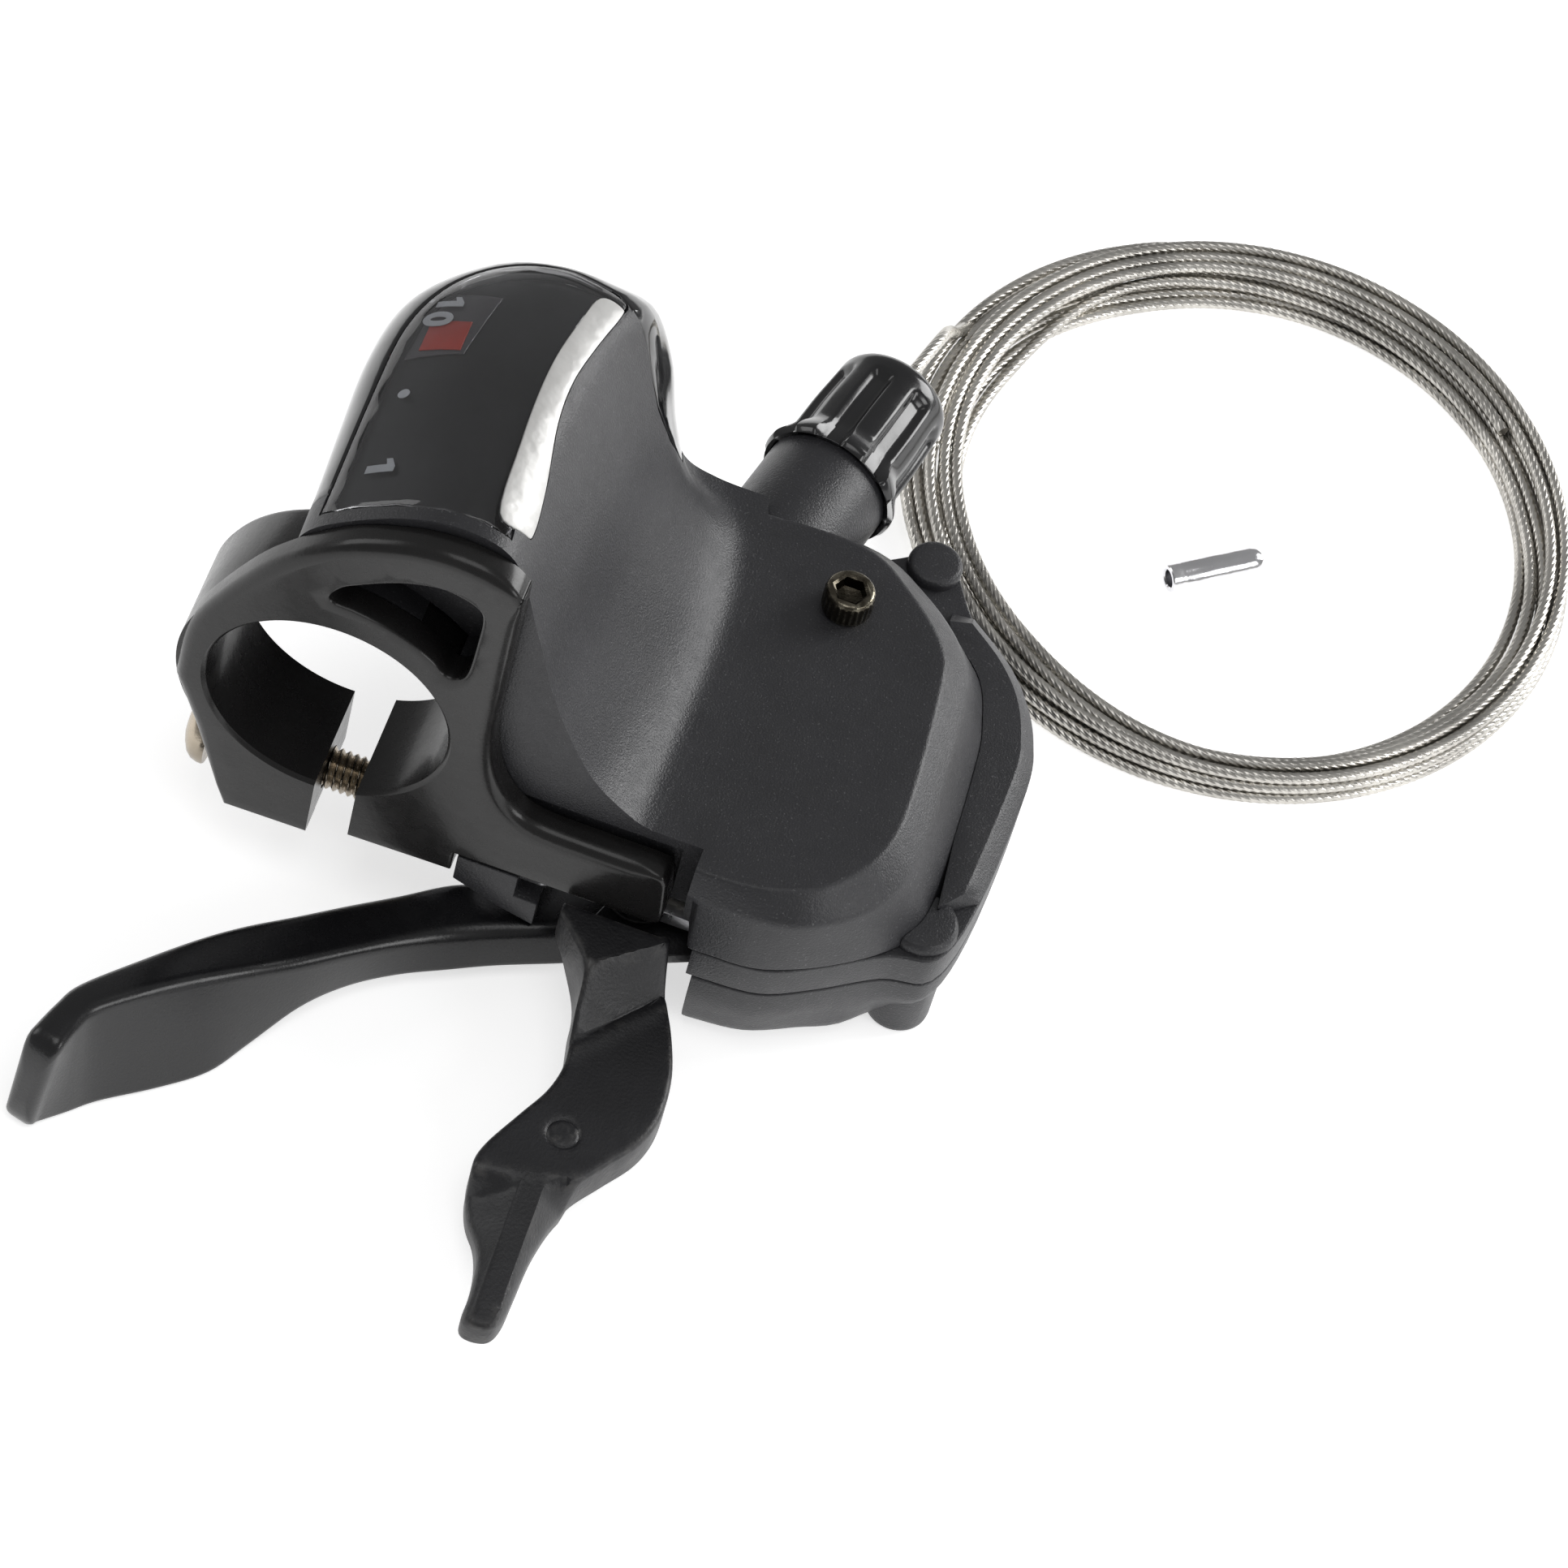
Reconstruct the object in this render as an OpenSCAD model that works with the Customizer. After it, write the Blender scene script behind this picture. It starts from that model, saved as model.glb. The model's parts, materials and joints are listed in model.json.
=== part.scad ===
// Ten-speed thumb shifter for a flat handlebar.
// Origin: centre of the handlebar bore, half way along the clamp.
// +X forward (away from the rider), +Y towards the middle of the handlebar, +Z up.

/* [Handlebar clamp] */
// Radius of the handlebar bore
bore_r = 11.2; // [11.1:0.05:11.3]
// Width of the clamp along the handlebar
clamp_w = 11; // [10:0.5:12]
// Outer radius of the clamp ring
ring_r = 14.2; // [13.8:0.1:14.4]
// Thickness of the bracket's front plate
plate_t = 2.7; // [2.2:0.1:3]
// Radius of the clamp bolt's thread
clamp_bolt_r = 2; // [1.9:0.05:2.1]

/* [Main axle] */
// Place of the main axle along X
axle_x = 37.5; // [37.2:0.1:37.8]
// Place of the main axle along Y
axle_y = 12; // [11.8:0.1:12.2]
// Radius of the main axle
axle_r = 3; // [2.8:0.1:3.1]
// Running clearance of turning parts, on the radius
run_gap = 0.05; // [0.03:0.01:0.09]

/* [Cable spool] */
// Radius of the cable's centre line on the spool
cable_pitch_r = 12; // [11.8:0.1:12.1]
// Radius of the spool's flanges
flange_r = 14; // [13.8:0.1:14.1]
// Number of ratchet teeth round a full turn
ratchet_teeth = 30; // [28:1:32]

/* [Cable] */
// Radius of the inner cable
cable_r = 0.6; // [0.55:0.05:0.6]
// Height of the cable's centre line in the housing
cable_z = -11.5; // [-11.6:0.1:-11.4]
// Outer radius of the coil of spare cable
coil_r = 32.2; // [31:0.1:33]

/* [Barrel adjuster] */
// Outer radius of the housing tube that holds the adjuster
tube_r = 6.1; // [5.9:0.1:6.2]
// Radius of the adjuster knob across its lobes
knob_r = 5.9; // [5.7:0.1:6]
// Radius of the adjuster stem
stem_r = 2.5; // [2.4:0.05:2.6]
// Number of lobes on the adjuster knob
knob_lobes = 8; // [6:1:10]

/* [Hidden] */
$fn = 64;
eps = 0.01;

// Levels of the stack, from the table up
table_z = -26.5;
cover_floor_z = -25;
lever_low_z = -24;
hub_low_z = -20.9;
hub_top_z = -19.4;
pawl_low_z = -18.5;
pawl_top_z = -17.1;
plate_low_z = -16.4;
plate_top_z = -14.9;
spool_low_z = -14.3;
spool_top_z = -8.7;
seam_z = -13.4;
lower_seam_z = -17.2;
ceiling_z = -7;
deck_z = -4.8;

front_y = -clamp_w / 2;
back_y = clamp_w / 2;
axle = [axle_x, axle_y];
chamber_r = 14.7;
neck_r = 6.3;
ratchet_tip_r = 9.4;
ratchet_root_r = 8.4;

// The cable leaves the spool on a tangent, at this angle to +Y
cable_lean = 12.83;
cable_dir = [sin(cable_lean), cos(cable_lean), 0];
tangent = [axle_x - cable_pitch_r * cos(cable_lean), axle_y + cable_pitch_r * sin(cable_lean), cable_z];
// Stations along the cable, measured from the tangent point
tube_start = 22;
spring_start = 25.6;
tube_end = 32.6;
knob_start = 32.75;
knob_end = 45.5;
straight_end = 49;

release_pivot = [30.5, -1];
hold_pivot = axle + 12 * [cos(303), sin(303)];
hold_pin_r = 1;
drive_pivot = axle + 10.9 * [cos(118), sin(118)];
drive_pin_r = 0.8;
bracket_screw_at = [[18, -1.7], [18, 6]];
bolt_at = [39, 28];
boss_a = [44.9, 42.3];
boss_b = [55.2, 3.6];
boss_c = [22.6, 31.5];

// Sections of the dome at stations along Y, each from the left lower edge,
// over the top and down the flank to the deck: [x, z]
dome_y = [-3, 3, 10, 18, 25, 30, 32.2, 33.8, 35.2, 36.2, 37];
dome_sections = [
    [[-5.8, 16], [-5.6, 18.8], [-3.2, 21.8], [2.6, 25.8], [8, 27.3], [13, 25.4],
        [16.2, 17], [19.3, 8], [23.6, 0], [27.9, -3.8], [30.2, -4.8]],
    [[-6.1, 15.2], [-5.8, 18.9], [-3.5, 22.1], [2.3, 26.1], [8, 27.5], [12.9, 25.4],
        [16.4, 17], [19.7, 7.4], [24.2, -0.3], [28.2, -4], [30.7, -4.8]],
    [[-6.6, 14.3], [-6.2, 19], [-3.9, 22.6], [1.8, 26.5], [8, 27.7], [12.8, 25.7],
        [16.6, 17], [20, 6.9], [24.7, -0.5], [28.5, -4.1], [31.1, -4.8]],
    [[-7, 13.8], [-6.5, 19.3], [-4.1, 22.8], [1.5, 26.2], [7.8, 27.1], [13, 25.4],
        [16.8, 16.5], [20.2, 6.6], [24.8, -0.5], [28.6, -4.1], [31.3, -4.8]],
    [[-6.7, 13.2], [-5.6, 18.9], [-2.9, 22.6], [2.4, 25.3], [8.4, 25.9], [13.6, 24.3],
        [17, 15.4], [20.1, 6], [24.4, -0.8], [28.2, -4.1], [31, -4.8]],
    [[-4.7, 12.4], [-2.5, 18.2], [0.4, 22], [4.6, 24.1], [9, 24.4], [14.7, 22.5],
        [17.2, 14.5], [19.8, 5.6], [23.6, -1], [27.4, -4.2], [30.6, -4.8]],
    [[-3.1, 11.8], [0.4, 17.8], [3.6, 21.1], [7, 22.4], [10.6, 22.4], [15, 20.8],
        [17.4, 13.6], [19.5, 5], [22.9, -1.5], [26.8, -4.3], [30.3, -4.8]],
    [[-1.3, 10.9], [3, 16.6], [6.1, 19.3], [8.8, 20.2], [11.4, 20.2], [15.1, 18.9],
        [17.5, 12.8], [19.3, 4.5], [22, -2], [25.8, -4.4], [29.9, -4.8]],
    [[1.3, 9.8], [5.2, 14.6], [7.9, 16.5], [10, 17.1], [12.2, 17], [15.3, 15.8],
        [17.5, 11.1], [19, 3.8], [21.1, -2.6], [24.6, -4.5], [29.3, -4.8]],
    [[4.3, 8.6], [7.6, 12], [9.7, 13.2], [11.5, 13.6], [13.2, 13.4], [15.5, 12.5],
        [17.4, 9], [18.7, 3.1], [20.6, -2.9], [24.2, -4.55], [29, -4.8]],
    [[7.7, 6.8], [9.6, 8.5], [11.3, 9.3], [12.6, 9.5], [14, 9.3], [15.6, 8.5],
        [17.2, 6.3], [18.5, 2], [20.3, -3.1], [23.8, -4.6], [28.8, -4.8]]];
dome_sub = 3;

// Plan outline of the deck, and of the shells below it
deck_outline = [[18, 35.5], [24.8, 36.6], [38.5, 37.4], [45, 34.6], [50.2, 29.5], [52.2, 23],
    [53, 8], [51.6, 0.5], [47, -4.4], [42, -6.2], [34, -6.2], [18, -4]];
deck_inner = [[18, 33.8], [26, 34.8], [38.3, 35.3], [44, 32], [48.4, 27.3], [49.6, 22.8],
    [50.6, 9.5], [50, 3.8], [48, 0], [44.2, -3.4], [36, -5], [18, -3]];
skirt_outline = [[16.5, 37.2], [38, 39.6], [46, 36.5], [52.3, 32], [54.6, 26.5], [55.4, 21.6],
    [55.9, 7], [54.4, 1.2], [49.6, -3.4], [43.4, -6.8], [38, -7.3], [36.2, -7.3], [34.8, -1.4],
    [22.8, -1.4], [22.8, 12]];
tier_outline = [[24, 38.2], [38, 40.6], [42.6, 43], [47, 43.2], [50, 38.2], [54.4, 34.6],
    [57.2, 31], [59, 27], [59.9, 21.6], [59.4, 8], [57.6, 0.8], [53.3, -0.8], [48, -4.4],
    [43.5, -6.8], [38, -7.3], [36.6, -7.3], [36.6, -0.5], [28, 2], [24, 8], [19.4, 26], [19.4, 35]];
cover_outline = [[25, 37], [38, 39.4], [48.6, 37], [52.8, 33.4], [55.4, 29.8], [57, 26],
    [57.6, 21], [56.8, 8], [52, -0.6], [47.4, -3.6], [43, -5.8], [38.4, -6.4], [37.4, -6.4],
    [37.4, 0], [29, 3.4], [24, 9], [20.8, 26], [20.8, 34]];

// Route of the free cable, from the adjuster's mouth to the coil
cable_route = [[37.9, 68.5, -12.9], [38.2, 72.5, -16.5], [38.5, 76.8, -21.5], [39.3, 81.3, -25],
    [41.6, 87, -25.9], [45.2, 92.2, -25.9], [49.4, 96.2, -25.8], [53.4, 98.8, -25.5], [57.6, 100.3, -25.3],
    [61.6, 100.9, -25.3]];
coil_at = [70.7, 70];

// ---------- helpers ----------

function spline(a, b, c, d, u) =
    0.5 * (2 * b + (c - a) * u + (2 * a - 5 * b + 4 * c - d) * u * u
        + (3 * b - a - 3 * c + d) * u * u * u);
function knot(list, i) = list[max(0, min(len(list) - 1, i))];
function along(list, t) =
    let (i = min(len(list) - 2, floor(t)), u = t - i)
    spline(knot(list, i - 1), knot(list, i), knot(list, i + 1), knot(list, i + 2), u);
function section_at(k) = [for (j = [0 : len(dome_sections[0]) - 1])
    along([for (s = dome_sections) s[j]], k)];
function smooth(section) =
    [for (t = [0 : 1 / dome_sub : len(section) - 1 + eps]) along(section, min(t, len(section) - 1))];
function unit(v) = v / norm(v);
function inward(curve, i) =
    let (t = unit(curve[min(len(curve) - 1, i + 1)] - curve[max(0, i - 1)])) [t[1], -t[0]];
function inset(curve, d) = [for (i = [0 : len(curve) - 1]) curve[i] + d * inward(curve, i)];
// A section closed along the bottom, as points in space
function closed_section(k, d, y) =
    let (c = inset(smooth(section_at(k)), d))
    concat([for (p = c) [p[0], y, p[1]]], [[29.1 - d, y, seam_z], [12.8, y, seam_z], [12.8, y, 0]]);

// Skin through rings of points, with flat ends
module skin(rings) {
    n = len(rings[0]);
    m = len(rings);
    points = [for (r = rings) for (p = r) p];
    sides = [for (i = [0 : m - 2]) for (j = [0 : n - 1])
        for (f = [[i * n + j, (i + 1) * n + j, (i + 1) * n + (j + 1) % n],
            [i * n + j, (i + 1) * n + (j + 1) % n, i * n + (j + 1) % n]]) f];
    first = [[for (j = [0 : n - 1]) j]];
    last = [[for (j = [n - 1 : -1 : 0]) (m - 1) * n + j]];
    polyhedron(points = points, faces = concat(sides, first, last), convexity = 8);
}

// The dome's solid, its surface moved inward by d
module dome_solid(d) {
    stations = [for (k = [0 : 1 / 2 : len(dome_y) - 1]) k];
    end_y = 37 - d;
    skin([for (k = stations) closed_section(k, d, min(along(dome_y, k), end_y - (len(dome_y) - 1 - k) * eps))]);
}

// Solid between two heights with the same outline
module slab(outline, low, high) {
    translate([0, 0, low]) linear_extrude(high - low) polygon(outline);
}

// Flat shape drawn in X and Z, with thickness along Y
module upright(low_y, high_y) {
    translate([0, high_y, 0]) rotate([90, 0, 0]) linear_extrude(high_y - low_y) children();
}

module post(at, low, high, r) {
    translate([at[0], at[1], low]) cylinder(h = high - low, r = r);
}

// Cylinder along the cable's line, between two stations
module on_cable(from, to, r) {
    translate(tangent + from * cable_dir) rotate([-90, 0, -cable_lean]) cylinder(h = to - from, r = r);
}

// Ring of wire turns, as the plain outer shape of a torsion spring
module spring_ring(at, low, high, inner, outer) {
    difference() {
        post(at, low, high, outer);
        post(at, low - 1, high + 1, inner);
    }
}

// ---------- handlebar clamp ----------

module face_outline() {
    difference() {
        polygon([[-13.9, -3], [-13.7, 3], [-12.4, 7.4], [-8.9, 14.3], [-5.9, 18.4], [-3.1, 21.3],
            [-0.4, 23.4], [2.6, 24.9], [5.2, 25.8], [8, 26.2], [11, 25.9], [13.4, 25], [14.6, 24],
            [14.8, 22.6], [14.8, 3], [16, -2], [18, -5.6], [20.5, -7], [33, -7.2], [33, -14.3],
            [13.9, -14.3], [13.9, -16.9], [-0.5, -17.2], [-0.5, -18.8], [-7.4, -19]]);
        circle(r = bore_r, $fn = 96);
        translate([0.4, -20]) square([3.8, 12]);
        pocket_outline();
    }
}

module pocket_outline() {
    polygon([[-1.6, 15.5], [-1, 16.9], [0.2, 18.1], [4, 20.6], [7.4, 21.8], [9.6, 21.6],
        [11.2, 20.8], [11.7, 19.6], [11.7, 16.6], [11.5, 12.2], [10.9, 10.6], [9.6, 10.4],
        [8.4, 11.6], [6.1, 13.1], [3.4, 14.2], [0.6, 14.8], [-1, 14.9]]);
}

module clamp_bracket() {
    color([0.09, 0.09, 0.1]) difference() {
        union() {
            upright(front_y, front_y + plate_t) face_outline();
            upright(front_y, back_y) difference() {
                union() {
                    circle(r = ring_r, $fn = 96);
                    polygon([[-13.7, -3], [-7.4, -19], [0.4, -18.8], [4.2, -17.2], [13.9, -16.9], [13.9, -6]]);
                }
                circle(r = bore_r, $fn = 96);
                translate([0.4, -20]) square([3.8, 12]);
            }
            // Shelf that the housing and the base plate are fastened to
            upright(front_y, -2.3) polygon([[12, -7.2], [33, -7.2], [33, -14.3], [12, -14.3]]);
            upright(-4.1, back_y + 3) polygon([[12.6, -9], [22, -9], [22, plate_top_z], [13.9, plate_top_z]]);
        }
        translate([-20, 0, -15.8]) rotate([0, 90, 0]) cylinder(h = 45, r = clamp_bolt_r + 0.02);
        translate([11.2, 0, -15.8]) rotate([0, 90, 0]) cylinder(h = 4, r = 4.05, $fn = 6);
        for (at = bracket_screw_at) post(at, plate_top_z - 1, -9.5, 1.25);
    }
}

module clamp_bolt() {
    color([0.62, 0.56, 0.48]) difference() {
        union() {
            translate([-10.4, 0, -15.8]) rotate([0, 90, 0]) cylinder(h = 24, r = clamp_bolt_r);
            translate([-10.4, 0, -15.8]) intersection() {
                rotate([0, 90, 0]) translate([0, 0, -2.4]) cylinder(h = 2.4, r = 3.6);
                translate([3, 0, 0]) sphere(r = 5.6);
            }
        }
        translate([-14, 0, -15.8]) rotate([0, 90, 0]) cylinder(h = 2.9, r = 1.45, $fn = 6);
    }
}

module clamp_nut() {
    color([0.6, 0.6, 0.62]) translate([11.25, 0, -15.8]) rotate([0, 90, 0]) difference() {
        cylinder(h = 2.6, r = 4, $fn = 6);
        translate([0, 0, -1]) cylinder(h = 5, r = clamp_bolt_r);
    }
}

module guide_block_solid(grow) {
    translate([13.6 - 8 * grow, 6.2 - grow, -7.6 - grow]) cube([4.2 + 9 * grow, 6.4 + 2 * grow, 8.4 + 2 * grow]);
}

module guide_block() {
    color([0.85, 0.83, 0.76]) guide_block_solid(0);
}

// ---------- upper housing ----------

module lens_window(grow) {
    translate([0, 0, 16]) linear_extrude(16) polygon([[-4.6 - grow, -1.2 - grow], [12 + grow, -1.2 - grow],
        [10.9 + grow, 8], [10.6 + grow, 16], [11.8 + grow, 22], [13.2 + grow, 28.6 + grow],
        [12.4 + grow, 29.6 + grow], [8.4, 30.3 + grow], [4.2, 29.9 + grow], [0.4 - grow, 28.2 + grow],
        [-2.6 - grow, 24.6 + grow], [-4.3 - grow, 19.6], [-4.6 - grow, 12]]);
}

module bezel_zone(grow) {
    difference() {
        union() {
            translate([-12, 1 - grow, 5]) cube([8.6, 24, 30]);
            translate([-12, 22, -2]) cube([40, 20, 40]);
        }
        // The seam drops down the back of the flank
        translate([0, -20, 0]) upright(0, 80) polygon([[15.2, 40], [15.2, 18], [16.8, 10],
            [19.4, 4.2], [14, 3], [-12, 3], [-12, -10], [40, -10], [40, 40]]);
        linear_extrude(80) polygon([[-3, -30], [-3, 19], [-0.8, 23.6], [2, 26.6], [6, 28], [16, 28.4],
            [40, 28.4], [40, -30]]);
    }
}

module upper_housing() {
    color([0.16, 0.16, 0.18]) difference() {
        union() {
            dome_solid(0);
            // Deck and its bevelled edge
            hull() {
                slab(deck_inner, deck_z - 0.4, deck_z);
                slab(deck_outline, deck_z - 2.6, deck_z - 2.4);
            }
            hull() {
                slab(deck_outline, deck_z - 2.6, deck_z - 2.5);
                slab(skirt_outline, seam_z, seam_z + 0.2);
            }
            on_cable(tube_start, tube_end, tube_r);
            post(axle, ceiling_z - 0.4, ceiling_z + 1, 4.6);
        }
        bar_room();
        translate([-2, -8, -20]) cube([35.3, 5.9, 14]);
        translate([-2, -8, -20]) cube([16.2, 8 + back_y + 0.3, 18]);
        translate([-2, -8, -20]) cube([24.3, 8 + back_y + 3.3, 11.2]);
        upright(-10, -0.4) pocket_outline();
        translate([-20, -10, -30]) cube([55, 10 + front_y + plate_t + 0.1, 60]);
        // Chamber of the mechanism
        post(axle, -30, ceiling_z, chamber_r);
        // Room under the dial
        dome_room();
        guide_block_solid(0.05);
        lens_window(0.1);
        bezel_cut();
        trim_cut();
        // Adjuster
        on_cable(-8, spring_start + 1, stem_r + 0.6);
        on_cable(spring_start, tube_end + 1, 4.9);
        post(bolt_at, -20, 0, 1.3);
    }
}

module dome_room() {
    translate([-2.4, 1.6, 14.6]) cube([13.2, 25.6, 8]);
}

// Room for the handlebar and the clamp's ring
module bar_room() {
    translate([0, -20, 0]) rotate([-90, 0, 0]) cylinder(h = 80, r = bore_r + 0.7, $fn = 96);
    translate([0, -20, 0]) rotate([-90, 0, 0]) cylinder(h = 20 + back_y + 0.3, r = ring_r + 0.25, $fn = 96);
}

module bezel_cut() {
    difference() {
        bezel_zone(0);
        dome_solid(1.9);
    }
}

module indicator_bezel() {
    color([0.05, 0.05, 0.06]) difference() {
        intersection() {
            dome_solid(0);
            bezel_zone(0);
        }
        dome_solid(1.8);
        bar_room();
        lens_window(0.05);
    }
}

module indicator_lens() {
    color([0.2, 0.2, 0.22, 0.5]) difference() {
        intersection() {
            dome_solid(0);
            lens_window(0);
        }
        dome_solid(1.3);
        trim_cut();
    }
}

module dial_plate() {
    color([0.03, 0.03, 0.035]) difference() {
        intersection() {
            dome_solid(1.5);
            lens_window(-0.2);
        }
        dome_solid(2.4);
        translate([-2.8, 2.5, 10]) cube([4.4, 24.5, 20]);
    }
}

module trim_outline() {
    polygon([[10.3, 0.6], [12.9, 0.5], [13.4, 1.6], [12.9, 6], [11.8, 12], [11.6, 17], [12.2, 22], [13, 27.2],
        [12.7, 28.3], [10.7, 28.1], [10, 24], [9.4, 19], [9.3, 14], [9.6, 8]]);
}

module trim_cut() {
    difference() {
        translate([0, 0, 18]) linear_extrude(12) trim_outline();
        dome_solid(0.5);
    }
}

module trim_strip() {
    color([0.78, 0.78, 0.78]) difference() {
        intersection() {
            dome_solid(0);
            translate([0, 0, 18]) linear_extrude(12) offset(delta = -0.05) trim_outline();
        }
        dome_solid(0.45);
        lens_window(0.1);
    }
}

module pointer_rail() {
    color([0.75, 0.75, 0.77]) translate([4.2, 1.6, 16.4]) rotate([-90, 0, 0]) cylinder(h = 25.6, r = 0.8);
}

module pointer() {
    color([0.85, 0.2, 0.12]) difference() {
        union() {
            translate([-1.9, 19.4, 18.1]) rotate([0, -33, 0]) cube([4, 4.2, 0.9]);
            translate([0.6, 20, 15.2]) cube([5, 3, 2.4]);
            translate([0.6, 20, 17]) cube([1.6, 3, 3.4]);
        }
        translate([4.2, 15, 16.4]) rotate([-90, 0, 0]) cylinder(h = 15, r = 0.8 + run_gap);
    }
}

// ---------- lower shells ----------

module middle_housing() {
    color([0.15, 0.15, 0.17]) difference() {
        union() {
            slab(tier_outline, lower_seam_z, seam_z);
            post(boss_a, lower_seam_z, -12.4, 2.6);
            post(boss_b, lower_seam_z, -12.4, 3.3);
            hull() {
                slab([[50, 36.6], [53.6, 33.6], [56.2, 30.2], [57.8, 26], [58.4, 21.4], [57.8, 7.4],
                    [56, 5], [54, 20], [48, 36]], -12, -11.9);
                slab([[50, 38.2], [54.4, 34.6], [57.2, 31], [59, 27], [59.9, 21.6], [59.4, 8],
                    [56, 5], [54, 20], [48, 38]], seam_z - 0.2, seam_z - 0.1);
            }
        }
        post(axle, -30, 0, chamber_r + 0.1);
        // Room for the levers at the front left
        slab([[18, -10], [36.4, -10], [38, 0], [30, 10], [18, 10]], -30, 0);
        on_cable(20, 40, tube_r + 0.1);
        slab(skirt_outline, seam_z, 0);
        for (at = [boss_a, boss_b, boss_c]) post(at, -30, seam_z - 1.4, 1.05);
        post(bolt_at, -30, 0, 1.3);
    }
}

module bottom_cover() {
    color([0.12, 0.12, 0.14]) difference() {
        union() {
            hull() {
                slab(tier_outline, lower_seam_z - 3, lower_seam_z);
                slab(cover_outline, cover_floor_z, cover_floor_z + 0.2);
            }
            slab(cover_outline, cover_floor_z - 1, cover_floor_z + 0.1);
            post(boss_a, table_z, lower_seam_z, 2.6);
            post(boss_b, table_z, lower_seam_z, 2.95);
            post(boss_c, table_z, lower_seam_z, 2.6);
        }
        post(axle, cover_floor_z + 0.4, 0, chamber_r - 0.9);
        slab([[10, -12], [37.2, -12], [37.2, -1], [30, 14], [10, 26]], cover_floor_z + 0.4, 0);
        slab([[10, -12], [37.4, -12], [37.4, -2.4], [28, 2], [10, 12]], -30, 0);
        // Room for the hold pawl and the release lever's tail
        post(hold_pivot, pawl_low_z - 0.4, 0, 2.5);
        slab([[36, -5.6], [41.4, -5.6], [41.8, 0], [36, 2]], pawl_low_z - 0.9, 0);
        on_cable(20, 40, tube_r + 0.1);
        for (at = [boss_a, boss_b, boss_c]) {
            post(at, -30, 0, 1.25);
            post(at, -30, table_z + 1.6, 2.1);
        }
        post(axle, -30, 0, axle_r);
    }
}

module lever_guard() {
    color([0.13, 0.13, 0.14]) difference() {
        union() {
            upright(front_y, front_y + 1.3) polygon([[14.3, -14.5], [22.2, -14.5], [22.2, -20.6],
                [18.6, -19.6], [14.3, -17.8]]);
            slab([[14.3, -4.6], [22.2, -4.6], [22.2, 3.4], [14.3, 3.4]], plate_low_z - 1.2, plate_low_z);
        }
        post(bracket_screw_at[0], -30, 0, 1.25);
        translate([20, front_y - 1, -17.4]) cube([3, 4, 2.9]);
    }
}

module base_plate() {
    color([0.55, 0.55, 0.57]) difference() {
        union() {
            post(axle, plate_low_z, plate_top_z, chamber_r - 0.3);
            slab([[14.4, -4.1], [22, -4.1], [23.6, -3.4], [36, -3.4], [36, 10], [27, 16], [14.4, 9.4]],
                plate_low_z, plate_top_z);
        }
        post(axle, -30, 0, neck_r + run_gap);
        post(release_pivot, -30, 0, 1.5);
        post(hold_pivot, -30, 0, hold_pin_r);
        for (at = bracket_screw_at) post(at, -30, 0, 1.25);
    }
}

module screw(at, head_low, tip, head_r, r) {
    difference() {
        union() {
            post(at, head_low, head_low + 1.1, head_r);
            post(at, head_low + 1, tip, r);
        }
        for (turn = [0, 90]) translate([at[0], at[1], head_low + 0.2]) rotate(turn)
            cube([2 * head_r * 0.6, 0.5, 0.9], center = true);
    }
}

module bracket_screws() {
    color([0.7, 0.7, 0.72]) {
        screw(bracket_screw_at[0], plate_low_z - 2.3, -10, 2.1, 1.2);
        screw(bracket_screw_at[1], plate_low_z - 1.1, -10, 2.1, 1.2);
    }
}

module housing_bolt() {
    color([0.1, 0.09, 0.08]) difference() {
        union() {
            post(bolt_at, deck_z, deck_z + 2.8, 2.35);
            post(bolt_at, -17, deck_z + 0.1, 1.25);
        }
        post(bolt_at, deck_z + 1, deck_z + 4, 1.6, $fn = 6);
    }
}

module cover_screws() {
    color([0.5, 0.5, 0.52]) for (at = [boss_a, boss_b, boss_c])
        screw(at, table_z + 0.45, seam_z - 1.6, 2, 1);
}

module main_axle() {
    color([0.72, 0.72, 0.74]) difference() {
        union() {
            post(axle, table_z + 0.7, -7, axle_r);
            post(axle, -7.4, -7, axle_r + 1.5);
        }
        spring_ring(axle, cover_floor_z + 0.5, cover_floor_z + 1, axle_r - 0.45, axle_r + 1);
    }
}

module retaining_ring() {
    color([0.6, 0.6, 0.62]) difference() {
        spring_ring(axle, cover_floor_z + 0.5, cover_floor_z + 1, axle_r - 0.45, axle_r + 1.3);
        translate([axle_x, axle_y - 1, cover_floor_z]) cube([6, 2, 2]);
    }
}

// ---------- spool ----------

module cable_spool() {
    color([0.82, 0.82, 0.78]) difference() {
        union() {
            post(axle, spool_low_z, spool_low_z + 1, flange_r);
            post(axle, spool_low_z, spool_top_z, cable_pitch_r - cable_r);
            post(axle, spool_top_z - 1, spool_top_z, flange_r);
            post(axle, pawl_low_z, spool_low_z, neck_r);
            // Block that holds the cable's head
            intersection() {
                post(axle, spool_low_z, spool_top_z, flange_r);
                translate([tangent[0], tangent[1], spool_low_z]) rotate(-cable_lean)
                    translate([-3.5, -6.5, 0]) cube([7, 5.6, spool_top_z - spool_low_z]);
            }
        }
        post(axle, -30, 0, axle_r + run_gap);
        spring_ring(axle, spool_top_z - 1.2, 0, 4.6, 9);
        on_cable(-4.2, 1, 2.1);
        on_cable(-4.2, 8, cable_r + 0.25);
    }
}

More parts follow.
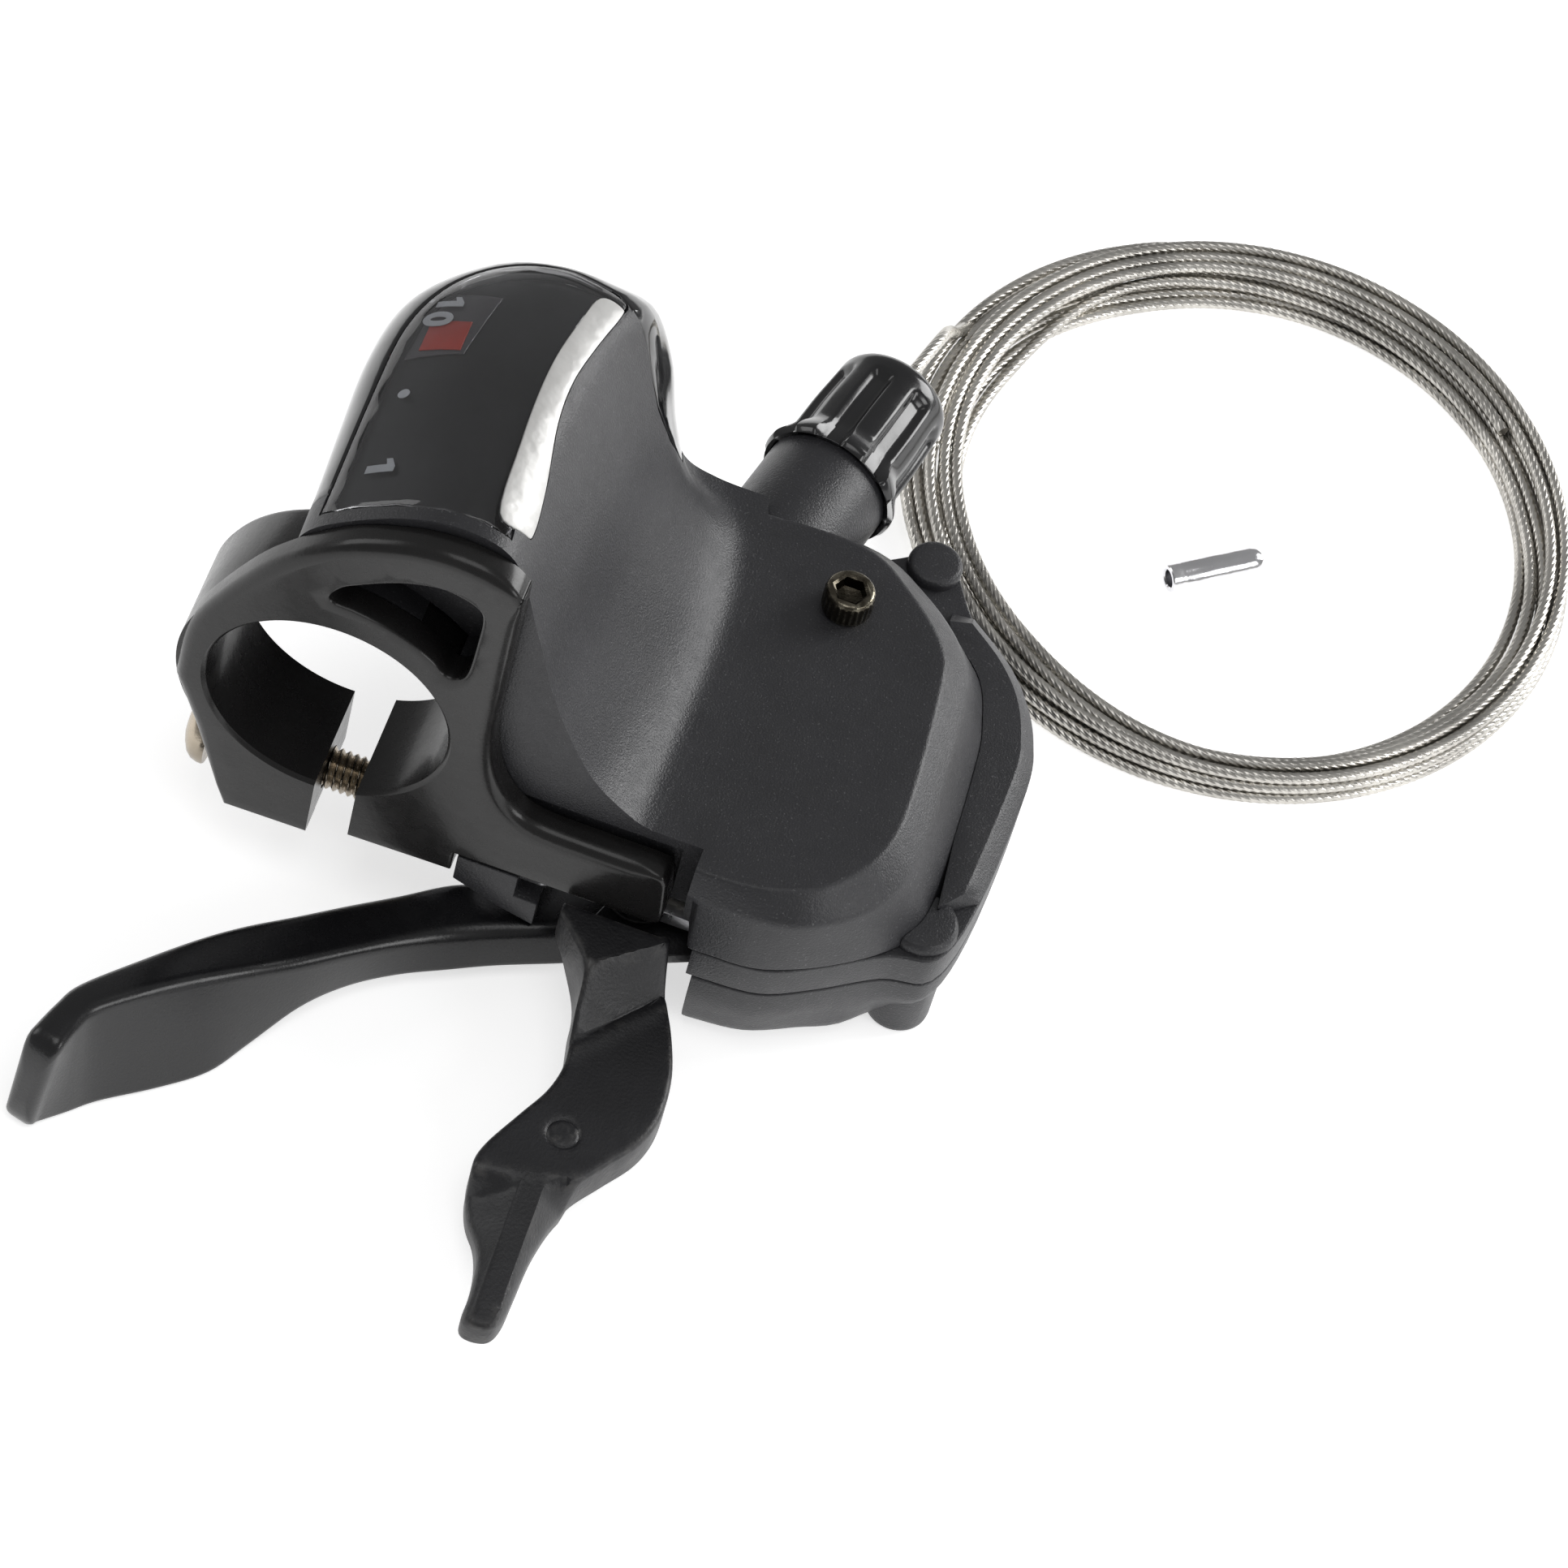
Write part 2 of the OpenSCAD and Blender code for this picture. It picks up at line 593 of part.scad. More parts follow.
module ratchet_ring() {
    color([0.62, 0.62, 0.64]) difference() {
        translate([axle_x, axle_y, pawl_low_z]) linear_extrude(pawl_top_z - pawl_low_z)
            polygon([for (i = [0 : ratchet_teeth - 1]) for (k = [0, 1])
                let (a = (i + 0.9 * k) * 360 / ratchet_teeth, r = k == 0 ? ratchet_root_r : ratchet_tip_r)
                r * [cos(a), sin(a)]]);
        post(axle, -30, 0, neck_r);
    }
}

module cable_nipple() {
    color([0.75, 0.75, 0.76]) on_cable(-4.1, -0.1, 2);
}

module spool_spring() {
    color([0.66, 0.66, 0.68]) spring_ring(axle, spool_top_z - 1.1, -7.6, 5.2, 8.6);
}

// ---------- thumb lever ----------

module lever_hub() {
    color([0.6, 0.6, 0.62]) difference() {
        union() {
            post(axle, hub_low_z, hub_top_z, 12.4);
            post(axle, hub_top_z, pawl_low_z - 0.1, 5);
        }
        post(axle, -30, 0, axle_r + run_gap);
        post(drive_pivot, -30, 0, drive_pin_r);
    }
}

// Stations of the thumb lever: [x, y] and level of its top, the same of its foot, half thickness
thumb_stations = [[[15.6, -6], -21, [16.6, -7.2], -25, 2.8],
    [[10, -10.3], -20.4, [11.1, -10.6], -25, 2.75],
    [[2.8, -17.2], -18.5, [3.5, -17.5], -25.2, 2.7],
    [[-4.2, -24.1], -16, [-1.6, -26.9], table_z, 2.3],
    [[-7.8, -27.8], -15.2, [-5.3, -30.4], table_z, 2.1],
    [[-11, -31.7], -15, [-8.7, -33.6], table_z, 1.9],
    [[-12.4, -36.6], -15.6, [-12.2, -37.2], table_z, 1.8]];
thumb_root = [[13.6, -6], [14.2, -3.6], [22, 1], [29, 8], [36, 12], [36.4, 1.8], [30.4, -1.2],
    [24, -5], [16.6, -9.2]];

module thumb_lever() {
    color([0.07, 0.07, 0.08]) difference() {
        union() {
            post(axle, lever_low_z, hub_low_z, 10.4);
            slab(thumb_root, lever_low_z, hub_low_z - 0.1);
            for (i = [0 : len(thumb_stations) - 2]) hull() {
                for (s = [thumb_stations[i], thumb_stations[i + 1]]) {
                    post(s[0], s[1] - 0.8, s[1], s[4], $fn = 32);
                    post(s[2], s[3], s[3] + 0.8, s[4], $fn = 32);
                }
            }
        }
        post(axle, -30, 0, axle_r + run_gap);
        spring_ring(axle, -30, lever_low_z + 1.9, axle_r + 0.9, 7.4);
    }
}

module thumb_return_spring() {
    color([0.66, 0.66, 0.68]) spring_ring(axle, lever_low_z + 0.3, lever_low_z + 1.7, 4.6, 6.8);
}

module drive_pawl() {
    nose = axle + 10 * [cos(94), sin(94)];
    color([0.58, 0.58, 0.6]) difference() {
        hull() {
            post(drive_pivot, pawl_low_z, pawl_top_z, 1.6, $fn = 32);
            post(nose + [0, 0.4], pawl_low_z, pawl_top_z, 0.5, $fn = 32);
        }
        post(drive_pivot, -30, 0, drive_pin_r + run_gap);
        post(axle, -30, 0, ratchet_tip_r + 0.2);
    }
}

module drive_pawl_pin() {
    color([0.72, 0.72, 0.74]) post(drive_pivot, hub_low_z, pawl_top_z + 0.2, drive_pin_r);
}

module drive_pawl_spring() {
    color([0.66, 0.66, 0.68]) spring_ring(drive_pivot, hub_top_z + 0.1, pawl_low_z - 0.1, 1, 1.5);
}

// ---------- release lever ----------

// Plan outlines of the release lever: its block under the bracket, and its blade past the step
release_block = [[24.4, -5.8], [34.8, -5.8], [34.8, -6.5], [29, -10.9], [26.1, -8.6]];
release_blade = [[30.1, -15.4], [35.5, -8.4], [37.3, -11.9], [38.8, -16.3], [39.2, -20.7], [37.7, -24.9],
    [34.9, -28.9], [32.4, -31.4], [26, -31.9], [26.1, -29.7], [27.6, -26.5], [29.2, -22.8], [29.7, -19.4]];
blade_z = -19.4;

module release_lever() {
    color([0.14, 0.14, 0.15]) difference() {
        union() {
            slab(release_block, -18.9, -14.7);
            slab(release_blade, blade_z - 4.2, blade_z);
            hull() {
                slab([[29, -10.9], [34.8, -6.5], [34.4, -5.9], [27, -9]], -18.2, -14.7);
                slab([[30.1, -15.4], [35.5, -8.4], [34.9, -7.8], [29.9, -14]], blade_z - 3, blade_z);
            }
            hull() {
                post(release_pivot, -18.9, pawl_top_z, 2.9, $fn = 32);
                slab([[26.4, -6.4], [33, -6.4], [33, -5.9], [26.4, -5.9]], -18.9, pawl_top_z);
            }
            hull() {
                post(release_pivot, -18.9, lower_seam_z - 0.3, 2.2, $fn = 32);
                post([39.4, -2.2], -18.9, lower_seam_z - 0.3, 0.9, $fn = 32);
            }
            hull() {
                slab([[26, -31.8], [32.8, -31.2], [33.4, -34.4], [25.9, -34.8]], blade_z - 4.2, blade_z - 0.6);
                slab([[29.4, -46.2], [30.4, -47], [32.4, -46.8], [32.6, -44.6], [29.2, -42.6]], -25, -21.6);
            }
        }
        post(release_pivot, -30, 0, 1.5 + run_gap);
        post(axle, -30, 0, 10.3);
    }
}

module release_pin() {
    color([0.72, 0.72, 0.74]) post(release_pivot, -19.1, plate_top_z, 1.5);
}

module release_spring() {
    color([0.66, 0.66, 0.68]) spring_ring(release_pivot, plate_low_z - 0.6, plate_low_z - 0.05, 1.7, 2.6);
}

module hold_pawl() {
    nose = axle + 10 * [cos(328), sin(328)];
    color([0.58, 0.58, 0.6]) difference() {
        hull() {
            post(hold_pivot, pawl_low_z, pawl_top_z, 1.7, $fn = 32);
            post(nose, pawl_low_z, pawl_top_z, 0.5, $fn = 32);
        }
        post(hold_pivot, -30, 0, hold_pin_r + run_gap);
        post(axle, -30, 0, ratchet_tip_r + 0.2);
    }
}

module hold_pawl_pin() {
    color([0.72, 0.72, 0.74]) post(hold_pivot, pawl_low_z - 0.1, plate_top_z, hold_pin_r);
}

module hold_pawl_spring() {
    color([0.66, 0.66, 0.68]) spring_ring(hold_pivot, plate_low_z - 0.6, plate_low_z - 0.05, 1.15, 1.7);
}

// ---------- barrel adjuster ----------

module adjuster_knob() {
    color([0.07, 0.07, 0.08]) difference() {
        union() {
            on_cable(knob_start, knob_end, knob_r - 0.5);
            translate(tangent + knob_start * cable_dir) rotate([-90, 0, -cable_lean])
                cylinder(h = 3.2, r1 = knob_r + 0.8, r2 = knob_r - 0.4);
            for (i = [0 : knob_lobes - 1])
                translate(tangent + (knob_start + 0.2) * cable_dir) rotate([-90, 0, -cable_lean])
                    rotate(i * 360 / knob_lobes) translate([knob_r - 1.1, 0, 0])
                    cylinder(h = knob_end - knob_start - 1.6, r = 1.3);
        }
        on_cable(knob_start - 1, knob_end - 5.5, stem_r);
        on_cable(knob_start, knob_end, cable_r + 0.25);
        on_cable(knob_end - 5.1, knob_end + 1, 2.6);
    }
}

module adjuster_stem() {
    color([0.7, 0.7, 0.72]) difference() {
        on_cable(20, knob_end - 5.5, stem_r);
        on_cable(10, knob_end, cable_r + 0.25);
    }
}

module adjuster_spring() {
    color([0.66, 0.66, 0.68]) difference() {
        on_cable(spring_start + 0.2, tube_end - 2, 4.5);
        on_cable(tube_start, tube_end, 3.3);
    }
}

module adjuster_detent() {
    color([0.8, 0.8, 0.76]) difference() {
        on_cable(tube_end - 1.8, tube_end - 0.3, 4.7);
        on_cable(tube_start, tube_end + 2, stem_r + run_gap);
    }
}

// ---------- cable ----------

module cable_inner() {
    color([0.7, 0.7, 0.7]) on_cable(0, straight_end, cable_r);
}

function frame_at(dir) = let (side = unit(cross(dir, [0, 0, 1]))) [side, cross(side, dir)];

module cable_run() {
    start = tangent + straight_end * cable_dir;
    knots = concat([start - 4 * cable_dir, start], cable_route);
    path = [for (t = [1 : 0.34 : len(knots) - 1]) along(knots, t)];
    rings = [for (i = [0 : len(path) - 1])
        let (dir = i == 0 ? cable_dir : unit(path[min(len(path) - 1, i + 1)] - path[i - 1]),
            f = frame_at(dir))
        [for (a = [0 : 45 : 315]) path[i] + cable_r * (cos(a) * f[0] + sin(a) * f[1])]];
    color([0.7, 0.7, 0.7]) skin(rings);
}

module cable_coil() {
    color([0.7, 0.7, 0.7]) translate([coil_at[0], coil_at[1], table_z])
        rotate_extrude($fn = 96) translate([coil_r - 3.6, 0]) square([3.6, 3.4]);
}

module cable_end_cap() {
    color([0.82, 0.82, 0.83]) translate([65.6, 59.8, table_z + 1.4]) rotate([0, 90, 38]) difference() {
        cylinder(h = 9.8, r = 1.4);
        translate([0, 0, -1]) cylinder(h = 9, r = 0.85);
    }
}

clamp_bracket();
clamp_bolt();
clamp_nut();
guide_block();
upper_housing();
indicator_bezel();
indicator_lens();
dial_plate();
trim_strip();
pointer_rail();
middle_housing();
bottom_cover();
lever_guard();
base_plate();
bracket_screws();
housing_bolt();
cover_screws();
main_axle();
retaining_ring();
cable_spool();
ratchet_ring();
cable_nipple();
spool_spring();
lever_hub();
thumb_lever();
thumb_return_spring();
drive_pawl();
drive_pawl_pin();
drive_pawl_spring();
release_lever();
release_pin();
release_spring();
hold_pawl();
hold_pawl_pin();
hold_pawl_spring();
pointer();
adjuster_knob();
adjuster_stem();
adjuster_spring();
adjuster_detent();
cable_inner();
cable_run();
cable_coil();
cable_end_cap();
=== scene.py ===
"""Looks of the flat-bar thumb shifter.

Lengths inside are millimetres in the row frame, and become metres in solid().
"""
import json
import math

import bmesh
import bpy
from mathutils import Matrix, Vector
from mathutils.geometry import delaunay_2d_cdt


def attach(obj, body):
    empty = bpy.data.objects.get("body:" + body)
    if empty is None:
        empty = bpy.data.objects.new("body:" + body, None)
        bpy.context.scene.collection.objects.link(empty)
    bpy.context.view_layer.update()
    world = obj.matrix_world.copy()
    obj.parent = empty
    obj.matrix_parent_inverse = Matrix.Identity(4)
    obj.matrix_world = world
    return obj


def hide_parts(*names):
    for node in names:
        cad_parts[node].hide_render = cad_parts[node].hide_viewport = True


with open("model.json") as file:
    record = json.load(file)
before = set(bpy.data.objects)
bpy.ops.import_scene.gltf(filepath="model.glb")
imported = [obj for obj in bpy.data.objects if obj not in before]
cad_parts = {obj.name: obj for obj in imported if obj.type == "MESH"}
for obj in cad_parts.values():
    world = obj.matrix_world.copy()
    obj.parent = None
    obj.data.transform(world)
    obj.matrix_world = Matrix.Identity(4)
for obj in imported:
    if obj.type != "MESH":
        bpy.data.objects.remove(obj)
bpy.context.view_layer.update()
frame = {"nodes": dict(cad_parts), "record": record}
NODES = frame["nodes"]
MM = 0.001
TAU = 2 * math.pi
UP = (0, 0, 1)


def polar(centre, radius, degrees):
    turn = math.radians(degrees)
    return centre[0] + radius * math.cos(turn), centre[1] + radius * math.sin(turn)


# ---------- design values, as in the CAD model ----------
TABLE = -26.5
UNDER = -30  # below everything: where the vertical cutters start
AXLE = Vector((37.5, 12.0))
DRIVE_AT, HOLD_AT = polar(AXLE, 10.9, 118), polar(AXLE, 12, 303)  # pins of the two pawls
PIN_AT = (30.5, -1.0)  # pivot of the release lever
BOLT_Z = -15.8  # height of the clamp bolt
CHAMBER_R = 14.7
BORE_R = 11.2
RING_R = 14.2
FRONT_Y, BACK_Y = -5.5, 5.5
DECK_Z, SEAM_Z, LOWER_SEAM_Z = -4.8, -13.4, -17.2
LEAN = math.radians(12.83)
CABLE_DIR = Vector((math.sin(LEAN), math.cos(LEAN), 0))
TANGENT = Vector((AXLE.x - 12 * math.cos(LEAN), AXLE.y + 12 * math.sin(LEAN), -11.5))
STRAIGHT_END = 49
TUBE_R = 6.1
BOLT_AT = Vector((39.0, 28.0))
BOSSES = {"a": (Vector((44.9, 42.3)), 2.6), "b": (Vector((55.2, 3.6)), 3.0), "c": (Vector((22.6, 31.5)), 2.6)}

DOME_Y = [-3, 3, 10, 18, 25, 30, 32.2, 33.8, 35.2, 36.2, 37]
DOME = [
    [(-5.8, 16), (-5.6, 18.8), (-3.2, 21.8), (2.6, 25.8), (8, 27.3), (13, 25.4),
     (16.2, 17), (19.3, 8), (23.6, 0), (27.9, -3.8), (30.2, -4.8)],
    [(-6.1, 15.2), (-5.8, 18.9), (-3.5, 22.1), (2.3, 26.1), (8, 27.5), (12.9, 25.4),
     (16.4, 17), (19.7, 7.4), (24.2, -0.3), (28.2, -4), (30.7, -4.8)],
    [(-6.6, 14.3), (-6.2, 19), (-3.9, 22.6), (1.8, 26.5), (8, 27.7), (12.8, 25.7),
     (16.6, 17), (20, 6.9), (24.7, -0.5), (28.5, -4.1), (31.1, -4.8)],
    [(-7, 13.8), (-6.5, 19.3), (-4.1, 22.8), (1.5, 26.2), (7.8, 27.1), (13, 25.4),
     (16.8, 16.5), (20.2, 6.6), (24.8, -0.5), (28.6, -4.1), (31.3, -4.8)],
    [(-6.7, 13.2), (-5.6, 18.9), (-2.9, 22.6), (2.4, 25.3), (8.4, 25.9), (13.6, 24.3),
     (17, 15.4), (20.1, 6), (24.4, -0.8), (28.2, -4.1), (31, -4.8)],
    [(-4.7, 12.4), (-2.5, 18.2), (0.4, 22), (4.6, 24.1), (9, 24.4), (14.7, 22.5),
     (17.2, 14.5), (19.8, 5.6), (23.6, -1), (27.4, -4.2), (30.6, -4.8)],
    [(-3.1, 11.8), (0.4, 17.8), (3.6, 21.1), (7, 22.4), (10.6, 22.4), (15, 20.8),
     (17.4, 13.6), (19.5, 5), (22.9, -1.5), (26.8, -4.3), (30.3, -4.8)],
    [(-1.3, 10.9), (3, 16.6), (6.1, 19.3), (8.8, 20.2), (11.4, 20.2), (15.1, 18.9),
     (17.5, 12.8), (19.3, 4.5), (22, -2), (25.8, -4.4), (29.9, -4.8)],
    [(1.3, 9.8), (5.2, 14.6), (7.9, 16.5), (10, 17.1), (12.2, 17), (15.3, 15.8),
     (17.5, 11.1), (19, 3.8), (21.1, -2.6), (24.6, -4.5), (29.3, -4.8)],
    [(4.3, 8.6), (7.6, 12), (9.7, 13.2), (11.5, 13.6), (13.2, 13.4), (15.5, 12.5),
     (17.4, 9), (18.7, 3.1), (20.6, -2.9), (24.2, -4.55), (29, -4.8)],
    [(7.7, 6.8), (9.6, 8.5), (11.3, 9.3), (12.6, 9.5), (14, 9.3), (15.6, 8.5),
     (17.2, 6.3), (18.5, 2), (20.3, -3.1), (23.8, -4.6), (28.8, -4.8)]]
DOME = [[Vector(p) for p in row] for row in DOME]
LAST = 10  # index of the dome's last row and of its last column
DIAL_DEPTH, INK = 1.3, 0.05  # depth of the dial's print below the surface, and its thickness
DECK_OUTLINE = [
    (18, 35.5), (24.8, 36.6), (38.5, 37.4), (45, 34.6), (50.2, 29.5), (52.2, 23), (53, 8), (51.6, 0.5),
    (47, -4.4), (42, -6.2), (34, -6.2), (18, -4)]
DECK_INNER = [
    (18, 33.8), (26, 34.8), (38.3, 35.3), (44, 32), (48.4, 27.3), (49.6, 22.8), (50.6, 9.5), (50, 3.8), (48, 0),
    (44.2, -3.4), (36, -5), (18, -3)]
SKIRT_OUTLINE = [
    (16.5, 37.2), (38, 39.6), (46, 36.5), (52.3, 32), (54.6, 26.5), (55.4, 21.6), (55.9, 7), (54.4, 1.2),
    (49.6, -3.4), (43.4, -6.8), (38, -7.3), (36.3, -7.3), (35.7, -4.6), (33.4, -4.4), (22.8, -1.4), (22.8, 12)]
TIER_OUTLINE = [
    (24, 38.2), (38, 40.6), (42.6, 43), (47, 43.2), (50, 38.2), (54.4, 34.6), (57.2, 31), (59, 27),
    (59.9, 21.6), (59.4, 8), (57.6, 0.8), (53.3, -0.8), (48, -4.4), (43.5, -6.8), (38, -7.3), (36.6, -7.3),
    (36.6, -0.5), (28, 2), (24, 8), (19.4, 26), (19.4, 35)]
COVER_OUTLINE = [
    (25, 37), (38, 39.4), (48.6, 37), (52.8, 33.4), (55.4, 29.8), (57, 26), (57.6, 21), (56.8, 8), (52, -0.6),
    (47.4, -3.6), (43, -5.8), (38.4, -6.4), (37.4, -6.4), (37.4, 0), (29, 3.4), (24, 9), (20.8, 26), (20.8, 34)]
CABLE_ROUTE = [
    (37.9, 68.5, -12.9), (38.2, 72.5, -16.5), (38.5, 76.8, -21.5), (39.3, 81.3, -25), (41.6, 87, -25.9),
    (45.2, 92.2, -25.9), (49.4, 96.2, -25.8), (53.4, 98.8, -25.5), (57.6, 100.3, -25.3), (61.6, 100.9, -25.3)]
COIL_AT = Vector((70.7, 70.0))
WINDOW = [
    (-4.6, -1.2), (12, -1.2), (10.9, 8), (10.6, 16), (11.8, 22), (13.2, 28.6), (12.4, 29.6), (8.4, 30.3),
    (4.2, 29.9), (0.4, 28.2), (-2.6, 24.6), (-4.3, 19.6), (-4.6, 12)]


# ---------- camera ----------
def set_camera():
    data = bpy.data.cameras.new("camera")
    data.sensor_width = 36
    data.lens = 167.7
    data.clip_start = 0.01
    camera = bpy.data.objects.new("camera", data)
    right, up, back = (0.94187, 0.29063, 0.16857), (-0.3338, 0.7523, 0.568), (0.03826, -0.59125, 0.80558)
    place = (0.0643, -0.37588, 0.51685)
    camera.matrix_world = Matrix([[right[i], up[i], back[i], place[i]] for i in range(3)] + [[0, 0, 0, 1]])
    bpy.context.scene.collection.objects.link(camera)
    bpy.context.scene.camera = camera


set_camera()


# ---------- curves ----------
def catmull(p, q, r, s, t):
    return 0.5 * (2 * q + (r - p) * t + (2 * p - 5 * q + 4 * r - s) * t * t + (3 * q - p - 3 * r + s) * t ** 3)


def knot(points, i):
    return points[max(0, min(len(points) - 1, i))]


def along(points, t):
    i = min(len(points) - 2, int(math.floor(t)))
    return catmull(knot(points, i - 1), knot(points, i), knot(points, i + 1), knot(points, i + 2), t - i)


def smooth_line(points, per=6):
    points = [Vector(p) for p in points]
    return [along(points, i / per) for i in range((len(points) - 1) * per + 1)]


def outline(points, per=6, sharp=()):
    """A closed smooth loop through the points, with corners kept at the sharp indices."""
    points = [Vector(p) for p in points]
    n = len(points)
    if not sharp:
        return [catmull(points[i - 1], points[i], points[(i + 1) % n], points[(i + 2) % n], k / per)
                for i in range(n) for k in range(per)]
    marks = sorted(sharp)
    loop = []
    for a, b in zip(marks, marks[1:] + [marks[0] + n]):
        loop += smooth_line([points[i % n] for i in range(a, b + 1)], per)[:-1]
    return loop


def dense(points, step):
    """A closed polygon with straight sides, its sides cut into short pieces."""
    points = [Vector(p) for p in points]
    loop = []
    for i, p in enumerate(points):
        q = points[(i + 1) % len(points)]
        count = max(1, int((q - p).length / step))
        loop += [p.lerp(q, k / count) for k in range(count)]
    return loop


def soft_corner(before, here, after, soft, steps, most=0.45):
    """Points around a corner, rounded off over the length `soft` on each side."""
    start = here + (before - here) * min(most, soft / max(1e-6, (before - here).length))
    end = here + (after - here) * min(most, soft / max(1e-6, (after - here).length))
    return [start * (1 - t) ** 2 + here * (2 * t * (1 - t)) + end * t * t
            for t in (k / steps for k in range(steps + 1))]


def rounded(points, radius):
    """A closed polygon with straight sides and rounded corners."""
    points = [Vector(p) for p in points]
    trios = zip(points[-1:] + points, points, points[1:] + points[:1])
    return [p for trio in trios for p in soft_corner(*trio, radius, 5, 0.48)]


def clean(loop):
    """Drops points that lie almost on each other."""
    result = [loop[0]]
    for p in loop[1:]:
        if (p - result[-1]).length > 0.05:
            result.append(p)
    if (result[0] - result[-1]).length < 0.05:
        result.pop()
    return result


def counter_clockwise(loop):
    area = sum(a.x * b.y - b.x * a.y for a, b in zip(loop, loop[1:] + loop[:1]))
    return loop if area > 0 else loop[::-1]


def circle(radius, n, centre):
    return [Vector((centre[0] + radius * math.cos(TAU * k / n), centre[1] + radius * math.sin(TAU * k / n)))
            for k in range(n)]


def side_of(p, a, b):
    """Signed distance of a plan point from the line a-b, positive to its left."""
    way = Vector((b[0] - a[0], b[1] - a[1])).normalized()
    return way.x * (p.y - a[1]) - way.y * (p.x - a[0])


def smooth_step(x, low, high):
    t = min(1.0, max(0.0, (x - low) / (high - low)))
    return t * t * (3 - 2 * t)


# ---------- meshes ----------
def linked(name, data):
    """A new object in the scene."""
    obj = bpy.data.objects.new(name, data)
    bpy.context.scene.collection.objects.link(obj)
    return obj


def finish_mesh(obj, angle=32):
    mesh = obj.data
    bm = bmesh.new()
    bm.from_mesh(mesh)
    bmesh.ops.remove_doubles(bm, verts=bm.verts, dist=2e-6)
    bmesh.ops.dissolve_degenerate(bm, edges=bm.edges, dist=1e-6)
    bmesh.ops.recalc_face_normals(bm, faces=bm.faces)
    bm.to_mesh(mesh)
    bm.free()
    mesh.polygons.foreach_set("use_smooth", [True] * len(mesh.polygons))
    mesh.set_sharp_from_angle(angle=math.radians(angle))
    return obj


def solid(name, verts, faces, angle=32):
    mesh = bpy.data.meshes.new(name)
    mesh.from_pydata([Vector(v) * MM for v in verts], [], faces)
    return finish_mesh(linked(name, mesh), angle)


def loft(name, rings, angle=32):
    """Skin through rings of 3-D points, with flat ends."""
    n = len(rings[0])
    last = (len(rings) - 1) * n
    verts = [p for ring in rings for p in ring]
    faces = []
    for i in range(0, last, n):
        faces += [(i + j, i + (j + 1) % n, i + n + (j + 1) % n, i + n + j) for j in range(n)]
    faces.append(tuple(range(n))[::-1])
    faces.append(tuple(last + j for j in range(n)))
    return solid(name, verts, faces, angle)


def axes_for(direction):
    direction = Vector(direction).normalized()
    side = direction.cross(Vector((0, 0, 1)))
    if side.length < 1e-4:
        side = Vector((1, 0, 0))
    side.normalize()
    return side, side.cross(direction).normalized(), direction


def hoop(centre, side, up, radius_at, n, twist=0.0):
    """Ring of n points around a centre, radius_at(angle) away from it."""
    angles = [TAU * k / n for k in range(n)]
    return [centre + (side * math.cos(a + twist) + up * math.sin(a + twist)) * radius_at(a) for a in angles]


def lathe(name, start, direction, profile, n=64, angle=32, wave=None):
    """Rings along a line from (station, radius) pairs. wave(theta, station) is added to the radius."""
    side, up, ahead = axes_for(direction)
    start = Vector(start)
    rings = [hoop(start + ahead * station, side, up, lambda a: radius + (wave(a, station) if wave else 0), n)
             for station, radius in profile]
    return loft(name, rings, angle)


def turned(name, at, z, profile, n=64, angle=32, wave=None):
    """Lathe on the vertical line through a plan point, with its stations measured up from z."""
    return lathe(name, (at[0], at[1], z), UP, profile, n, angle, wave)


def rod(name, a, b, radius, n=64):
    a, b = Vector(a), Vector(b)
    return lathe(name, a, b - a, [(0, radius), ((b - a).length, radius)], n)


def post(name, at, low, high, radius, n=48):
    return rod(name, (at[0], at[1], low), (at[0], at[1], high), radius, n)


def well(name, at, radius, n=48):
    """Round vertical cutter that is open below."""
    return post(name, at, UNDER, 0, radius, n)


def prism(name, loop, low, high):
    return loft(name, [[(p[0], p[1], z) for p in loop] for z in (low, high)])


def upright(name, loop, low, high):
    """Prism of an outline drawn in X and Z, between two values of Y."""
    return loft(name, [[(p[0], y, p[1]) for p in loop] for y in (low, high)])


def block(name, low, high):
    corners = [(low[0], low[1]), (high[0], low[1]), (high[0], high[1]), (low[0], high[1])]
    return prism(name, corners, low[2], high[2])


def bake(obj):
    """Turns an object's modifiers into its mesh."""
    graph = bpy.context.evaluated_depsgraph_get()
    mesh = bpy.data.meshes.new_from_object(obj.evaluated_get(graph))
    obj.modifiers.clear()
    obj.data = mesh
    return obj


def combine(obj, others, operation, angle=32):
    for other in others:
        modifier = obj.modifiers.new("combine", "BOOLEAN")
        modifier.solver = "EXACT"
        modifier.operation = operation
        modifier.object = other
        bpy.context.view_layer.update()
        bake(obj)
        bpy.data.objects.remove(other)
    return finish_mesh(obj, angle)


def cut(obj, *others, angle=32):
    return combine(obj, others, "DIFFERENCE", angle)


def join(obj, *others, angle=32):
    return combine(obj, others, "UNION", angle)


def bevel(obj, width):
    modifier = obj.modifiers.new("bevel", "BEVEL")
    modifier.width = width * MM
    modifier.segments = 3
    modifier.limit_method = "ANGLE"
    modifier.angle_limit = math.radians(30)
    modifier.use_clamp_overlap = True
    bpy.context.view_layer.update()
    bake(obj)
    return finish_mesh(obj, 40)


def soften(node, width):
    """A CAD node's own shape with its edges rounded."""
    mesh = NODES[node].data.copy()
    mesh.materials.clear()
    obj = linked(node + "_soft", mesh)
    bm = bmesh.new()
    bm.from_mesh(mesh)
    bmesh.ops.remove_doubles(bm, verts=bm.verts, dist=2e-6)
    bmesh.ops.dissolve_limit(bm, angle_limit=math.radians(1.5), verts=bm.verts, edges=bm.edges)
    bm.to_mesh(mesh)
    bm.free()
    return bevel(obj, width)


